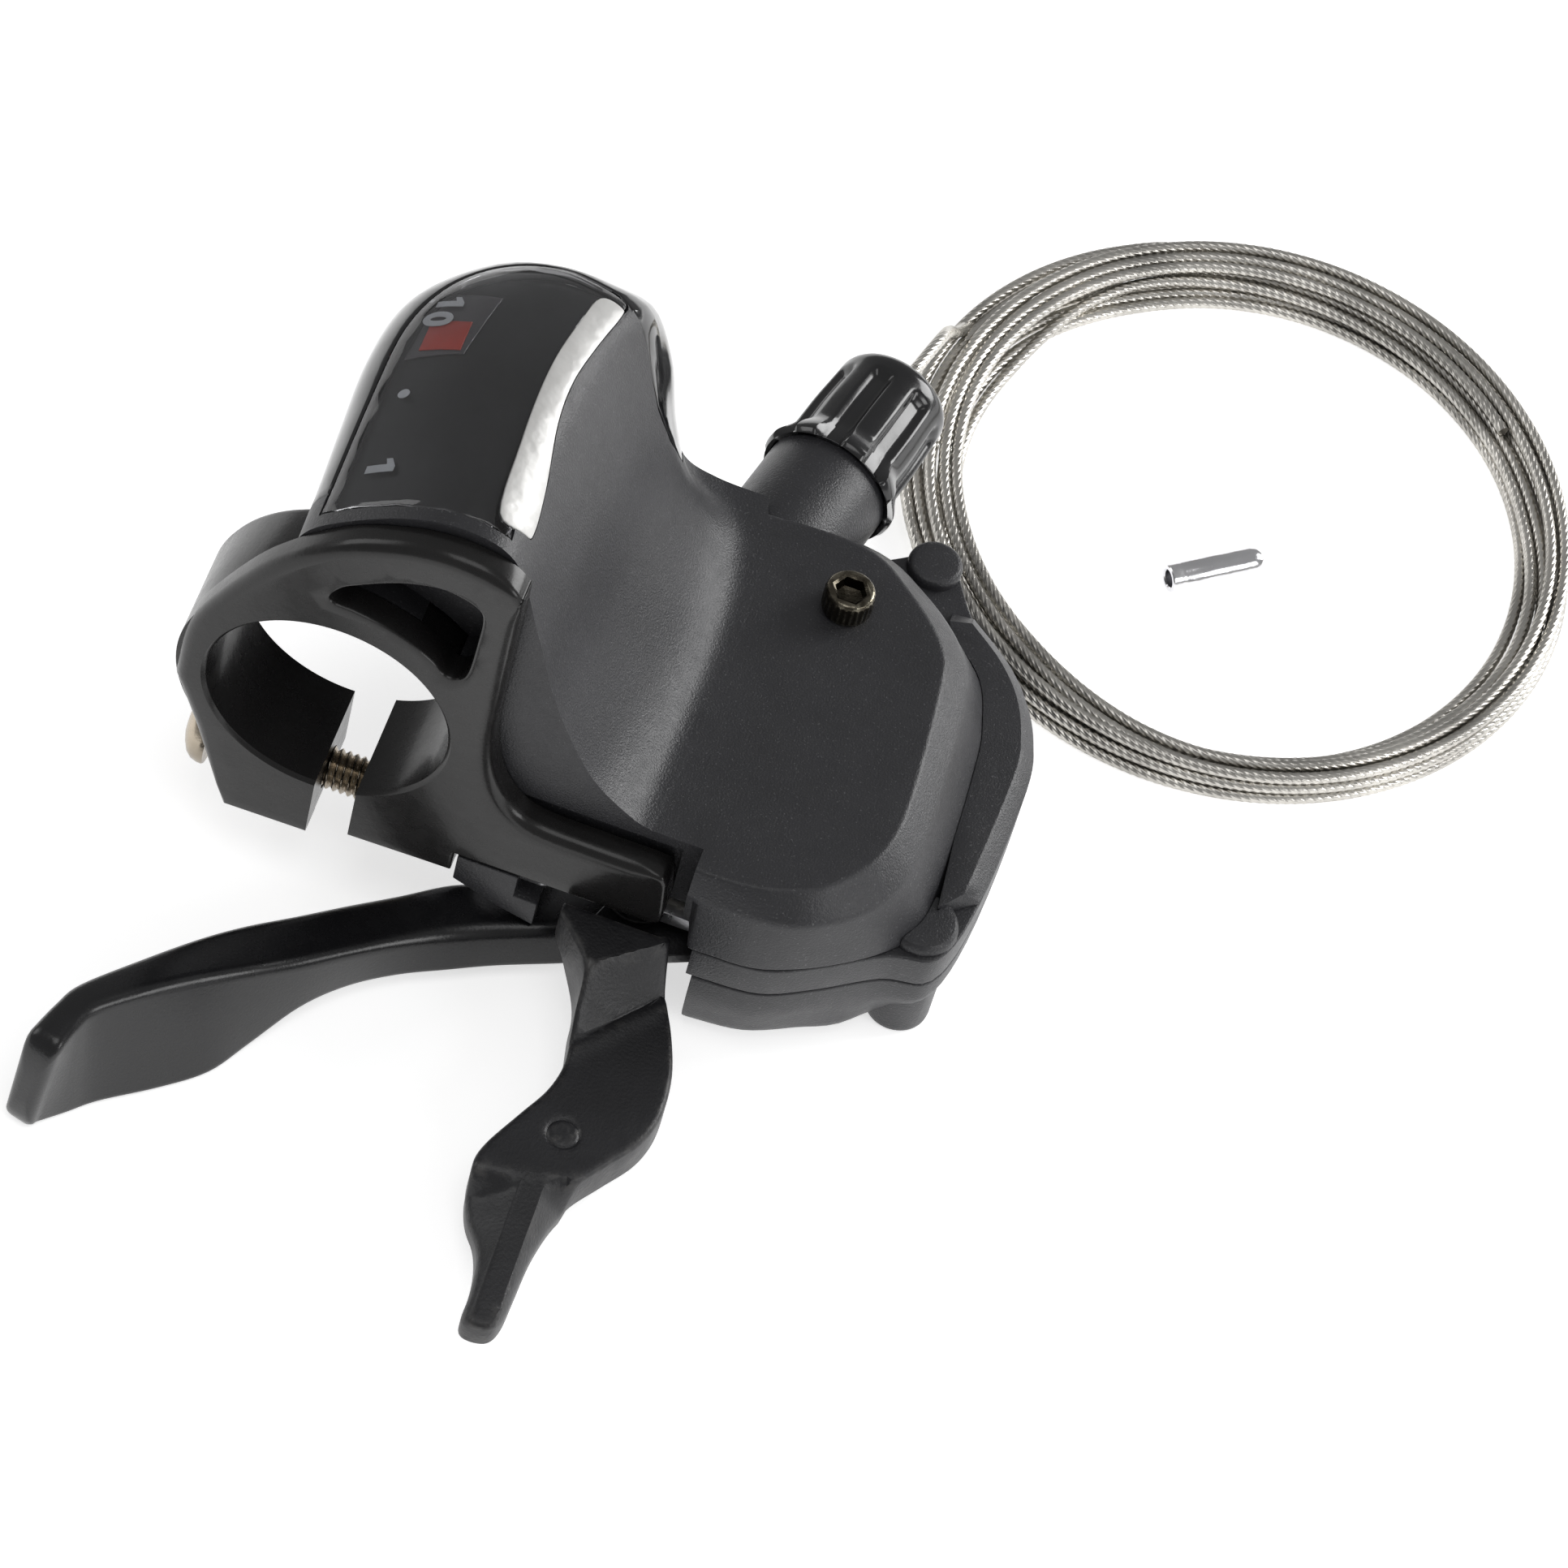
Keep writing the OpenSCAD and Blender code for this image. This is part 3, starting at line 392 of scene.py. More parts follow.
def untangle(loop, inner):
    """Merges the points of an inset loop that have passed over each other at a tight corner."""
    n = len(loop)
    inner = [p.copy() for p in inner]
    for _ in range(60):
        crossed = [i for i in range(n) if (loop[(i + 1) % n] - loop[i]).dot(inner[(i + 1) % n] - inner[i]) < -1e-9]
        if not crossed:
            break
        for i in crossed:
            k = (i + 1) % n
            middle = (inner[i] + inner[k]) / 2
            inner[i], inner[k] = middle.copy(), middle.copy()
    return inner


def plate(name, loop, place, base, inset, rim=0.25, low_rim=0.0, step=1.0, scale=(1, 1), arc=3, breaks=(),
          angle=32):
    """Closed piece over a parameter outline, triangulated about every `step`.

    place(p, d) is the point d below its top face, base(p, d) the point d above its low face, and
    inset(loop, d) the outline moved inward by d millimetres. breaks are lines that its mesh follows.
    """
    loop = counter_clockwise([Vector(p) for p in loop])
    n = len(loop)
    inner = untangle(loop, inset(loop, rim)) if rim > 0 else loop
    flat = [Vector((p.x * scale[0], p.y * scale[1])) for p in inner]
    xs, ys = [p.x for p in flat], [p.y for p in flat]
    points, edges = list(flat), [(i, (i + 1) % n) for i in range(n)]
    for line in breaks:
        first = len(points)
        points += [Vector((p[0] * scale[0], p[1] * scale[1])) for p in line]
        edges += [(first + i, first + i + 1) for i in range(len(line) - 1)]
    y = min(ys) + step / 2
    row = 0
    while y < max(ys):
        x = min(xs) + step * (0.5 if row % 2 else 0.25)
        hits = sorted(a.x + (b.x - a.x) * (y - a.y) / (b.y - a.y) for a, b in zip(flat, flat[1:] + flat[:1])
                      if (a.y > y) != (b.y > y))
        while x < max(xs):
            inside = sum(1 for h in hits if h < x) % 2 == 1
            if inside and min(abs(h - x) for h in hits) > step * 0.45:
                points.append(Vector((x, y)))
            x += step
        y += step * 0.87
        row += 1
    out, _, tris, origin, _, _ = delaunay_2d_cdt(points, edges, [], 1, 1e-5)
    where = {}
    for index, sources in enumerate(origin):
        for s in sources:
            where[s] = index
    param = [Vector((p.x / scale[0], p.y / scale[1])) for p in out]
    low_inner = untangle(loop, inset(loop, low_rim)) if low_rim > 0 else inner
    verts = [place(p, 0) for p in param]
    low_start = len(verts)
    near = {where[i]: low_inner[i] for i in range(n)}
    verts += [base(near.get(k, p), 0) for k, p in enumerate(param)]
    faces = [tuple(t) for t in tris] + [tuple(low_start + k for k in reversed(t)) for t in tris]
    rows = [[where[i] for i in range(n)]]

    def add_row(points3):
        first = len(verts)
        verts.extend(points3)
        rows.append([first + i for i in range(n)])

    def add_rim(width, surface, order):
        for k in order:
            a = math.pi / 2 * k / arc
            moved = untangle(loop, inset(loop, width * (1 - math.sin(a)))) if k < arc else loop
            add_row([surface(p, width * (1 - math.cos(a))) for p in moved])

    if rim > 0:
        add_rim(rim, place, range(1, arc + 1))
    if low_rim > 0:
        add_rim(low_rim, base, range(arc, 0, -1))
    else:
        add_row([base(p, 0) for p in loop])
    rows.append([low_start + where[i] for i in range(n)])
    for a, b in zip(rows, rows[1:]):
        for i in range(n):
            k = (i + 1) % n
            corners = tuple(dict.fromkeys((a[i], b[i], b[k], a[k])))
            if len(corners) > 2:
                faces.append(corners)
    return solid(name, verts, faces, angle)


def flat_inset(loop, distance):
    n = len(loop)
    result = []
    for i in range(n):
        a, b = (loop[i] - loop[i - 1]), (loop[(i + 1) % n] - loop[i])
        a, b = Vector((-a.y, a.x)).normalized(), Vector((-b.y, b.x)).normalized()
        m = a + b
        m = m / max(0.35, m.length_squared / 2) if m.length > 1e-6 else a
        result.append(loop[i] + m * distance)
    return result


def flat_plate(name, loop, low, high, rim=0.3, low_rim=0.0, side="z"):
    """Flat plate with rounded rims: across Z, or across Y when side is y, its top face at low Y."""
    if side == "z":
        def place(p, d):
            return Vector((p.x, p.y, high - d))

        def base(p, d):
            return Vector((p.x, p.y, low + d))
    else:
        def place(p, d):
            return Vector((p.x, low + d, p.y))

        def base(p, d):
            return Vector((p.x, high - d, p.y))
    return plate(name, loop, place, base, flat_inset, rim, low_rim, 2.0)


def stack(name, levels, centre):
    """Solid through outlines at falling heights: (outline, z, softness of that edge)."""
    centre = Vector(centre)
    angles = sorted({round(math.atan2(p.y - centre.y, p.x - centre.x), 2) for loop, _, _ in levels for p in loop})

    def hit(loop, a):
        way = Vector((math.cos(a), math.sin(a)))
        best = 0
        for p, q in zip(loop, loop[1:] + loop[:1]):
            p, e = p - centre, q - p
            cross = way.x * e.y - way.y * e.x
            if abs(cross) < 1e-9:
                continue
            t = (p.x * e.y - p.y * e.x) / cross
            s = (p.x * way.y - p.y * way.x) / cross
            if t > best and -1e-6 <= s <= 1 + 1e-6:
                best = t
        return centre + way * best

    rows = [[hit(loop, a).to_3d() + Vector((0, 0, z)) for a in angles] for loop, z, _ in levels]
    rings = [rows[0]]
    for k in range(1, len(rows) - 1):
        soft = levels[k][2]
        if soft > 0:
            corners = [soft_corner(*trio, soft, 4) for trio in zip(rows[k - 1], rows[k], rows[k + 1])]
            rings += [list(ring) for ring in zip(*corners)]
        else:
            rings.append(rows[k])
    rings.append(rows[-1])
    return loft(name, rings)


def shrunk(loop, centre, factor):
    centre = Vector(centre)
    return [centre + (p - centre) * factor for p in loop]


# ---------- the dome's surface ----------
rows_at = {}


def dome_row(v):
    key = round(v, 4)
    if key not in rows_at:
        rows_at[key] = [along([row[j] for row in DOME], v) for j in range(len(DOME[0]))]
    return rows_at[key]


def dome_point(u, v):
    p = along(dome_row(v), u)
    return Vector((p.x, along(DOME_Y, v), p.y))


def dome_frame(u, v):
    """Point, its two tangents and its outward normal."""
    h = 0.03
    u0, u1, v0, v1 = max(0, u - h), min(LAST, u + h), max(0, v - h), min(LAST, v + h)
    du = (dome_point(u1, v) - dome_point(u0, v)) / (u1 - u0)
    dv = (dome_point(u, v1) - dome_point(u, v0)) / (v1 - v0)
    return dome_point(u, v), du, dv, du.cross(dv).normalized()


def on_dome(p):
    return Vector((min(LAST, max(0, p.x)), min(LAST, max(0, p.y))))


def dome_at(p, depth):
    point, _, _, normal = dome_frame(*on_dome(p))
    return point - normal * depth


def halved(value_at, wanted):
    """Where along the dome's rows or columns a rising value comes to the wanted one."""
    low, high = 0.0, float(LAST)
    for _ in range(24):
        middle = (low + high) / 2
        if value_at(middle) < wanted:
            low = middle
        else:
            high = middle
    return (low + high) / 2


def dome_uv(x, y):
    v = round(halved(lambda t: along(DOME_Y, t), y), 4)
    row = dome_row(v)
    return Vector((halved(lambda t: along(row, t).x, x), v))


def dome_inset(loop, distance):
    n = len(loop)
    result = []
    for i, p in enumerate(loop):
        way = loop[(i + 1) % n] - loop[i - 1]
        _, du, dv, normal = dome_frame(p.x, p.y)
        inward = normal.cross(du * way.x + dv * way.y).normalized()
        a, b, c = du.dot(du), du.dot(dv), dv.dot(dv)
        e, f = du.dot(inward), dv.dot(inward)
        det = a * c - b * b
        result.append(p + Vector(((e * c - b * f) / det, (a * f - b * e) / det)) * distance)
    return result


def dome_plate(name, loop, top, thick, rim=0.25, step=1.1):
    """Plate that follows the dome, its top face `top` below the surface. The outline is in (u, v)."""
    return plate(name, loop, lambda p, d: dome_at(p, top + d), lambda p, d: dome_at(p, top + thick - d),
                 dome_inset, rim, 0, step, scale=(4.5, 4.0))


def from_plan(points):
    return [dome_uv(p[0], p[1]) for p in points]


# ---------- materials ----------
def grey(value):
    return (value, value, value, 1)


def material(name, colour, rough, metal=0.0, grain=(3000, 0.0), lump=(300, 0.0), vary=0.15, rough_vary=0.08,
             coat=0.0, coat_rough=0.1, specular=0.5, wear=None, painted_glint=0.0, transmission=0.0, ior=1.5):
    """Node material. grain and lump are (scale per metre, bump strength); wear is (colour, amount) on edges."""
    m = bpy.data.materials.new(name)
    m.use_nodes = True
    tree = m.node_tree
    nodes, links = tree.nodes, tree.links
    shader = nodes["Principled BSDF"]
    for socket, value in (("Metallic", metal), ("Coat Weight", coat), ("Coat Roughness", coat_rough),
                          ("Specular IOR Level", specular), ("Transmission Weight", transmission), ("IOR", ior)):
        shader.inputs[socket].default_value = value
    place = nodes.new("ShaderNodeTexCoord").outputs["Object"]

    def noise(scale, detail=2.0):
        node = nodes.new("ShaderNodeTexNoise")
        node.inputs["Scale"].default_value = scale
        node.inputs["Detail"].default_value = detail
        links.new(place, node.inputs["Vector"])
        return node.outputs["Fac"]

    def ramp(source, low, high, a, b):
        node = nodes.new("ShaderNodeValToRGB")
        for element, position, tint in zip(node.color_ramp.elements, (low, high), (a, b)):
            element.position = position
            element.color = tint
        links.new(source, node.inputs["Fac"])
        return node.outputs["Color"]

    def blend(factor, a, b):
        """Mix of the socket a and the constant colour b."""
        node = nodes.new("ShaderNodeMix")
        node.data_type = "RGBA"
        links.new(factor, node.inputs["Factor"])
        links.new(a, node.inputs[6])
        node.inputs[7].default_value = b
        return node.outputs[2]

    dark = [c * (1 - vary) for c in colour] + [1]
    light = [min(1, c * (1 + vary)) for c in colour] + [1]
    base = ramp(noise(120, 4), 0.35, 0.68, dark, light)
    # Painted glints: lighter specks mixed into the base colour stand in for the speckled highlight on the grained
    # plastic
    if painted_glint:
        glint_speck = ramp(noise(grain[0] * 0.8, 1), 0.66, 0.74, grey(0), grey(1))
        base = blend(glint_speck, base, [min(1, c + painted_glint) for c in colour] + [1])
    if wear:
        edges = nodes.new("ShaderNodeNewGeometry").outputs["Pointiness"]
        mask = ramp(edges, 0.505, 0.56, grey(0), grey(wear[1]))
        scratch = ramp(noise(900, 3), 0.42, 0.62, grey(0), grey(1))
        multiply = nodes.new("ShaderNodeMath")
        multiply.operation = "MULTIPLY"
        links.new(mask, multiply.inputs[0])
        links.new(scratch, multiply.inputs[1])
        base = blend(multiply.outputs[0], base, list(wear[0]) + [1])
    links.new(base, shader.inputs["Base Color"])
    spread = nodes.new("ShaderNodeMapRange")
    spread.inputs["To Min"].default_value = max(0.02, rough - rough_vary)
    spread.inputs["To Max"].default_value = min(1, rough + rough_vary)
    links.new(noise(700, 3), spread.inputs["Value"])
    links.new(spread.outputs["Result"], shader.inputs["Roughness"])
    normal = None
    for (scale, strength), distance in ((grain, 0.0001), (lump, 0.0004)):
        if strength > 0:
            bump = nodes.new("ShaderNodeBump")
            bump.inputs["Strength"].default_value = strength
            bump.inputs["Distance"].default_value = distance
            links.new(noise(scale), bump.inputs["Height"])
            if normal:
                links.new(normal, bump.inputs["Normal"])
            normal = bump.outputs["Normal"]
    if normal:
        links.new(normal, shader.inputs["Normal"])
    return m


# Colour, roughness and what differs from material()'s own values
LOOKS = {
    "bracket_black": ((0.011, 0.0105, 0.0105), 0.27, dict(
        grain=(2500, 0.10), lump=(260, 0.12), specular=0.32, coat=0.18, coat_rough=0.12)),
    "housing_grey_black": ((0.024, 0.024, 0.027), 0.40, dict(
        grain=(5200, 0.55), lump=(500, 0.05), painted_glint=0.05, vary=0.12, specular=0.48)),
    "bezel_black": ((0.007, 0.007, 0.008), 0.10, dict(
        grain=(1800, 0.03), lump=(150, 0.06), coat=0.5, coat_rough=0.04, rough_vary=0.03)),
    "dial_black": ((0.008, 0.008, 0.009), 0.42, dict(grain=(4000, 0.08), vary=0.2)),
    "lens_smoke": ((0.80, 0.80, 0.82), 0.025, dict(
        lump=(120, 0.03), transmission=1.0, ior=1.49, rough_vary=0.01, vary=0.03)),
    "trim_silver": ((0.66, 0.655, 0.64), 0.46, dict(metal=0.3, grain=(900, 0.35), lump=(420, 0.6), vary=0.06)),
    "pointer_orange": ((0.72, 0.05, 0.02), 0.34, dict(grain=(3000, 0.1), vary=0.12)),
    "lever_black": ((0.006, 0.006, 0.007), 0.27, dict(
        grain=(3600, 0.16), lump=(220, 0.06), coat=0.15, coat_rough=0.2)),
    "release_black": ((0.012, 0.012, 0.014), 0.42, dict(
        grain=(3200, 0.40), lump=(380, 0.10), wear=((0.11, 0.105, 0.10), 0.55), vary=0.25)),
    "knob_black": ((0.009, 0.009, 0.010), 0.19, dict(
        grain=(2600, 0.05), lump=(240, 0.08), coat=0.3, coat_rough=0.08)),
    "bolt_bronze": ((0.46, 0.40, 0.32), 0.27, dict(metal=1.0, grain=(3500, 0.2), vary=0.3)),
    "bolt_dark": ((0.075, 0.066, 0.05), 0.24, dict(
        metal=1.0, grain=(3800, 0.3), vary=0.35, wear=((0.5, 0.46, 0.36), 0.8))),
    "steel": ((0.55, 0.55, 0.57), 0.30, dict(metal=1.0, grain=(3000, 0.2), vary=0.1)),
    "spring_steel": ((0.48, 0.48, 0.5), 0.26, dict(metal=1.0, grain=(3500, 0.15), vary=0.15)),
    "nylon": ((0.78, 0.76, 0.68), 0.5, dict(grain=(2500, 0.2), vary=0.05)),
    "cable_steel": ((0.60, 0.58, 0.54), 0.30, dict(metal=1.0, grain=(2500, 0.2), vary=0.22)),
    "cap_aluminium": ((0.80, 0.80, 0.82), 0.20, dict(metal=1.0, grain=(2600, 0.12), vary=0.06, lump=(500, 0.15))),
}
LOOK = {name: material(name, colour, rough, **more) for name, (colour, rough, more) in LOOKS.items()}
PRINT = material("dial_print", (0.82, 0.86, 0.88), 0.5, grain=(5000, 0.1), vary=0.08)
SLIDER = material("slider_grey", (0.10, 0.095, 0.10), 0.32, grain=(3000, 0.08), vary=0.2)
SLOT_OF = {part["node"]: part["material_slot"] for part in frame["record"]["subparts"]}


def dress(obj, slot, body, *nodes, look=None):
    """Gives a piece its material, and says what it rides on and which CAD nodes it replaces."""
    obj.data.materials.clear()
    obj.data.materials.append(look or LOOK[slot])
    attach(obj, body)
    if nodes:
        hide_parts(*nodes)
    return obj


for node, cad in NODES.items():
    cad.data.materials.clear()
    cad.data.materials.append(LOOK[SLOT_OF[node]])


# ---------- cable ----------
def stranded(name, centres, phase=0.0):
    """Tube of twisted wires along a dense centre line. Returns the piece and the twist it ends with."""
    radius, lobes, lay, groove = 0.6, 9, 8.0, 0.055

    def lobed(a):
        return radius - groove * (1 - abs(math.cos(lobes / 2 * a))) ** 0.8

    rings = []
    count = len(centres)
    side = None
    twist = phase
    for i, c in enumerate(centres):
        ahead = (centres[min(count - 1, i + 1)] - centres[max(0, i - 1)]).normalized()
        side = axes_for(ahead)[0] if side is None else (side - ahead * side.dot(ahead)).normalized()
        up = ahead.cross(side)
        if i:
            twist += (c - centres[i - 1]).length / lay * TAU
        rings.append(hoop(c, side, up, lobed, lobes * 4, twist))
    return loft(name, rings, 60), twist


def coil_centres(start_angle, turns, step):
    """Loose flat coil in three layers; each layer steps over to its next place at its own angle."""
    middle, crossing = 30.0, 46
    layers = [
        {"z": -25.88, "radii": [31.5, 30.25, 29.0, 27.9], "shift": (-0.3, -0.9), "cross": 165, "wave": 0.0},
        {"z": -24.66, "radii": [28.4, 29.6, 30.85, 32.0], "shift": (-1.2, 0.0), "cross": 31, "wave": 2.0},
        {"z": -23.45, "radii": [31.3, 30.0, 28.9, 28.3], "shift": (-0.1, 0.2), "cross": -80, "wave": 4.1}]
    slots = [(layer, r) for layer in layers for r in layer["radii"]]
    points = []
    total = int(turns * 360 / step)
    for i in range(total + 1):
        swept = i * step
        layer_now = slots[min(len(slots) - 1, int(swept // 360))][0]
        # Each layer changes place when the cable passes its crossing angle
        into = (start_angle - layer_now["cross"]) % 360
        t = (swept - into) / 360 + 1
        index = max(0, min(len(slots) - 1, int(math.floor(t))))
        share = (t - math.floor(t)) * 360
        previous, here = slots[max(0, index - 1)], slots[index]
        if t < 1:
            previous = here = slots[0]
        angle = math.radians(start_angle - swept)

        def spot(slot):
            layer, radius = slot
            sway = 2 * angle + layer["wave"]
            spread = 1 + 0.16 * (1 + math.cos(sway)) / 2
            r = middle + (radius - middle) * spread + 0.32 * math.sin(sway)
            shift = layer["shift"]
            return Vector((COIL_AT.x + shift[0] + r * math.cos(angle), COIL_AT.y + shift[1] + r * math.sin(angle),
                           layer["z"]))

        points.append(spot(previous).lerp(spot(here), smooth_step(share, 0, crossing)))
    return points


def make_cable():
    start = TANGENT + CABLE_DIR * STRAIGHT_END
    lead = [start - CABLE_DIR * 4, start] + [Vector(p) for p in CABLE_ROUTE[:-1]]
    run = [along(lead, 1 + i / 12) for i in range((len(lead) - 2) * 12 + 1)]
    end = run[-1]
    start_angle = math.degrees(math.atan2(end.y - COIL_AT.y, end.x - COIL_AT.x))
    turns, step, blended = 10.2, 1.5, 50
    coil = coil_centres(start_angle, turns, step)
    # The coil's first degrees are drawn over to the end of the run
    offset = end - coil[0]
    coil = [p + offset * smooth_step(1 - i * step / blended, 0, 1) for i, p in enumerate(coil)]
    line = run + coil[1:]
    inner = [TANGENT + CABLE_DIR * (STRAIGHT_END * k / 80) for k in range(81)]
    piece, twist = stranded("cable_inner_strands", inner)
    dress(piece, "cable_steel", "housing", "cable_inner")
    cable, _ = stranded("cable_strands", line, twist)
    dress(cable, "cable_steel", "housing", "cable_run", "cable_coil")
    profile = [
        (1.6, 0.82), (0.12, 0.86), (0.0, 0.98), (0.0, 1.3), (0.12, 1.4), (1.1, 1.38), (1.3, 1.33), (1.5, 1.37),
        (4.5, 1.39), (8.6, 1.38), (9.2, 1.3), (9.6, 1.05), (9.78, 0.6), (9.8, 0.2)]
    cap = lathe("cable_end_ferrule", (65.6, 59.8, TABLE + 1.4), (*polar((0, 0), 1, 38), 0), profile, 40)
    dress(cap, "cap_aluminium", "housing", "cable_end_cap")


make_cable()


# ---------- clamp bracket ----------
POCKET = [
    (-1.6, 15.5), (-1, 16.9), (0.2, 18.1), (4, 20.6), (7.4, 21.8), (9.6, 21.6), (11.2, 20.8), (11.7, 19.6),
    (11.7, 16.6), (11.5, 12.2), (10.9, 10.6), (9.6, 10.4), (8.4, 11.6), (6.1, 13.1), (3.4, 14.2), (0.6, 14.8),
    (-1, 14.9)]


def tapered(name, loop, deep):
    """Cutter with a chamfered mouth at the bracket's front face."""
    flare = 0.35
    loop = counter_clockwise(loop)
    levels = [(FRONT_Y - 0.5, 1), (FRONT_Y, 1), (FRONT_Y + flare * 0.4, 0.3), (FRONT_Y + flare, 0), (deep, 0)]
    return loft(name, [[(p.x, y, p.y) for p in (flat_inset(loop, -flare * wide) if wide else loop)]
                       for y, wide in levels])


def make_bracket():
    arch = [
        (-13.9, -3), (-13.7, 3), (-12.4, 7.4), (-8.9, 14.3), (-5.9, 18.4), (-3.1, 21.3), (-0.4, 23.4),
        (2.6, 24.9), (5.2, 25.8), (8, 26.2), (11, 25.9), (13.2, 25.1), (14.5, 23.9), (14.8, 22.4), (14.8, 10),
        (14.9, 3), (15.9, -2), (17.8, -5.3), (20.5, -6.9), (26, -7.15), (31.6, -7.2), (32.8, -7.9),
        (33.1, -9.4), (33.3, -13.2), (32.6, -14.2), (30, -14.3), (20, -14.3), (13.9, -14.35)]
    face = counter_clockwise(outline(arch + [(13.9, -16.9), (2.3, -17.25), (2.3, -18.8), (-7.4, -19)], 5,
                                     (0, 27, 28, 29, 30, 31)))

    def softness(p):
        """Wide rounding over the arch, crisp edges at the foot."""
        foot = 0.28 + 0.72 * smooth_step(p.y, -14.4, -11.5)
        corner = 0.5 + 0.5 * smooth_step((p - Vector((14.6, 23.6))).length, 0.8, 3.5)
        end = 1 - 0.6 * smooth_step(p.x, 29.5, 32)
        return min(foot, corner, end)

    def face_inset(loop, distance):
        return [p + (q - p) * softness(p) for p, q in zip(loop, flat_inset(loop, distance))]

    body = plate("clamp_bracket_body", face, lambda p, d: Vector((p.x, FRONT_Y + d * softness(p), p.y)),
                 lambda p, d: Vector((p.x, FRONT_Y + 2.75 - d, p.y)), face_inset, 1.25, 0.0, 2.0, arc=5)
    depth = BACK_Y - FRONT_Y
    ring = lathe("ring", (0, FRONT_Y + 0.9, 0), (0, 1, 0),
                 [(0, 13.2), (0.1, RING_R), (4, RING_R), (depth - 1.6, RING_R), (depth - 1.1, RING_R - 0.2),
                  (depth - 0.9, RING_R - 0.7)], 120)
    ears = upright("ears", rounded([(-13.5, -3), (-7.25, -18.8), (0.4, -18.6), (4.2, -17.05), (13.7, -16.7),
                                    (13.7, -6)], 0.6), FRONT_Y + 0.8, BACK_Y)
    ears = bevel(ears, 0.35)
    shelf = flat_plate("shelf", rounded([(12.5, -7.6), (32.6, -7.6), (32.8, -14.2), (12.5, -14.2)], 0.8),
                       FRONT_Y + 0.6, -2.35, rim=0.4, low_rim=0.5, side="y")
    seat = upright("seat", [(12.6, -9), (22, -9), (22, -14.9), (13.9, -14.9)], -4.1, BACK_Y + 3)
    join(body, ring, ears, shelf, seat)
    bore = lathe("bore", (0, FRONT_Y - 1, 0), (0, 1, 0),
                 [(0, BORE_R + 0.35), (1, BORE_R + 0.35), (1.1, BORE_R + 0.2), (1.35, BORE_R), (14, BORE_R)], 128)
    gap = block("gap", (0.4, -8, -20), (4.2, 8, -8))
    pocket = tapered("pocket", outline(POCKET, 4), -2)
    bolt_way = rod("bolt_way", (-20, 0, BOLT_Z), (25, 0, BOLT_Z), 2.05)
    nut_way = lathe("nut_way", (11.2, 0, BOLT_Z), (1, 0, 0), [(0, 4.1), (4, 4.1)], 6)
    cut(body, bore, gap, pocket, bolt_way, nut_way)
    dress(body, "bracket_black", "housing", "clamp_bracket")


make_bracket()


# ---------- fasteners ----------
def make_clamp_bolt():
    pitch, sides, thread_end = 0.7, 40, 13.6

    def ring(x, radius_at):
        """Points around the bolt's axis at x. radius_at(share) is the radius that share of a turn round."""
        return [(x, radius_at(k / sides) * math.cos(TAU * k / sides),
                 BOLT_Z + radius_at(k / sides) * math.sin(TAU * k / sides)) for k in range(sides)]

    def threaded(x):
        return lambda share: 2.0 - 0.38 * (abs(2 * ((x / pitch - share) % 1) - 1) ** 1.2)

    head = [
        (-12.8, 0.6), (-12.72, 1.5), (-12.5, 2.2), (-12.1, 2.95), (-11.6, 3.4), (-11.0, 3.58), (-10.55, 3.6),
        (-10.42, 3.5), (-10.4, 2.0), (-3.0, 2.0)]
    rings = [ring(station, lambda share, r=r: r) for station, r in head]
    x = -2.8
    while x < thread_end:
        rings.append(ring(x, threaded(x)))
        x += pitch / 9
    rings.append(ring(thread_end, lambda share: 1.2))
    bolt = loft("clamp_bolt_threaded", rings, 50)
    cut(bolt, lathe("socket", (-14, 0, BOLT_Z), (1, 0, 0), [(0, 1.45), (2.9, 1.45)], 6), angle=50)
    dress(bolt, "bolt_bronze", "housing", "clamp_bolt")
    dress(soften("clamp_nut", 0.2), "steel", "housing", "clamp_nut")


def make_housing_bolt():
    top = DECK_Z + 2.8

    def knurl(a, station):
        return 0.05 * math.cos(26 * a) if 0.4 < station < 2.3 else 0

    head = turned("head", BOLT_AT, DECK_Z + 0.01,
                  [(-12, 1.25), (0, 1.25), (0.01, 2.2), (0.25, 2.32), (0.45, 2.33), (1.2, 2.33), (2.25, 2.33),
                   (2.35, 2.3), (2.6, 2.22), (2.74, 2.08), (2.79, 1.9)], 104, 40, knurl)
    way = turned("way", BOLT_AT, top - 1.9, [(0, 0.4), (0.35, 1.52), (1.7, 1.52), (1.95, 1.85)], 6)
    cut(head, way, angle=40)
    head.name = "housing_bolt_knurled"
    dress(head, "bolt_dark", "housing", "housing_bolt")


make_clamp_bolt()
make_housing_bolt()


# ---------- upper housing ----------
def bezel_loop():
    """Outline of the gloss bezel on the dome, in (u, v)."""
    side = [
        (-4.62, 1), (-4.62, 12), (-4.32, 19.6), (-2.65, 24.6), (0.35, 28.25), (4.2, 29.95), (8.4, 30.35),
        (12.0, 29.9)]
    inner = from_plan(smooth_line(side, 5))
    seam = [dome_uv(13.6, 28.9), dome_uv(15.1, 28.4)]
    edge, back_v, start_v = 0.06, 9.98, inner[0].y
    drop = [Vector((u, seam[-1].y + v)) for u, v in ((6.3, 0.10), (6.75, 0.45), (7.15, 0.95), (7.45, 1.45))]
    tip = [Vector(p) for p in ((7.5, 7.3), (7.15, 8.3), (6.8, 9.4), (6.6, back_v))]
    back = [Vector((6.6 - 6.5 * k / 14, back_v)) for k in range(1, 15)]
    left = [Vector((edge, back_v - 8.5 * k / 22)) for k in range(1, 23)]
    left = [p for p in left if p.y > start_v + 0.1] + [Vector((edge, start_v))]
    foot = [Vector((edge + (inner[0].x - edge) * k / 4, start_v)) for k in range(1, 4)]
    return clean(inner + seam + drop + tip + back + left + foot)


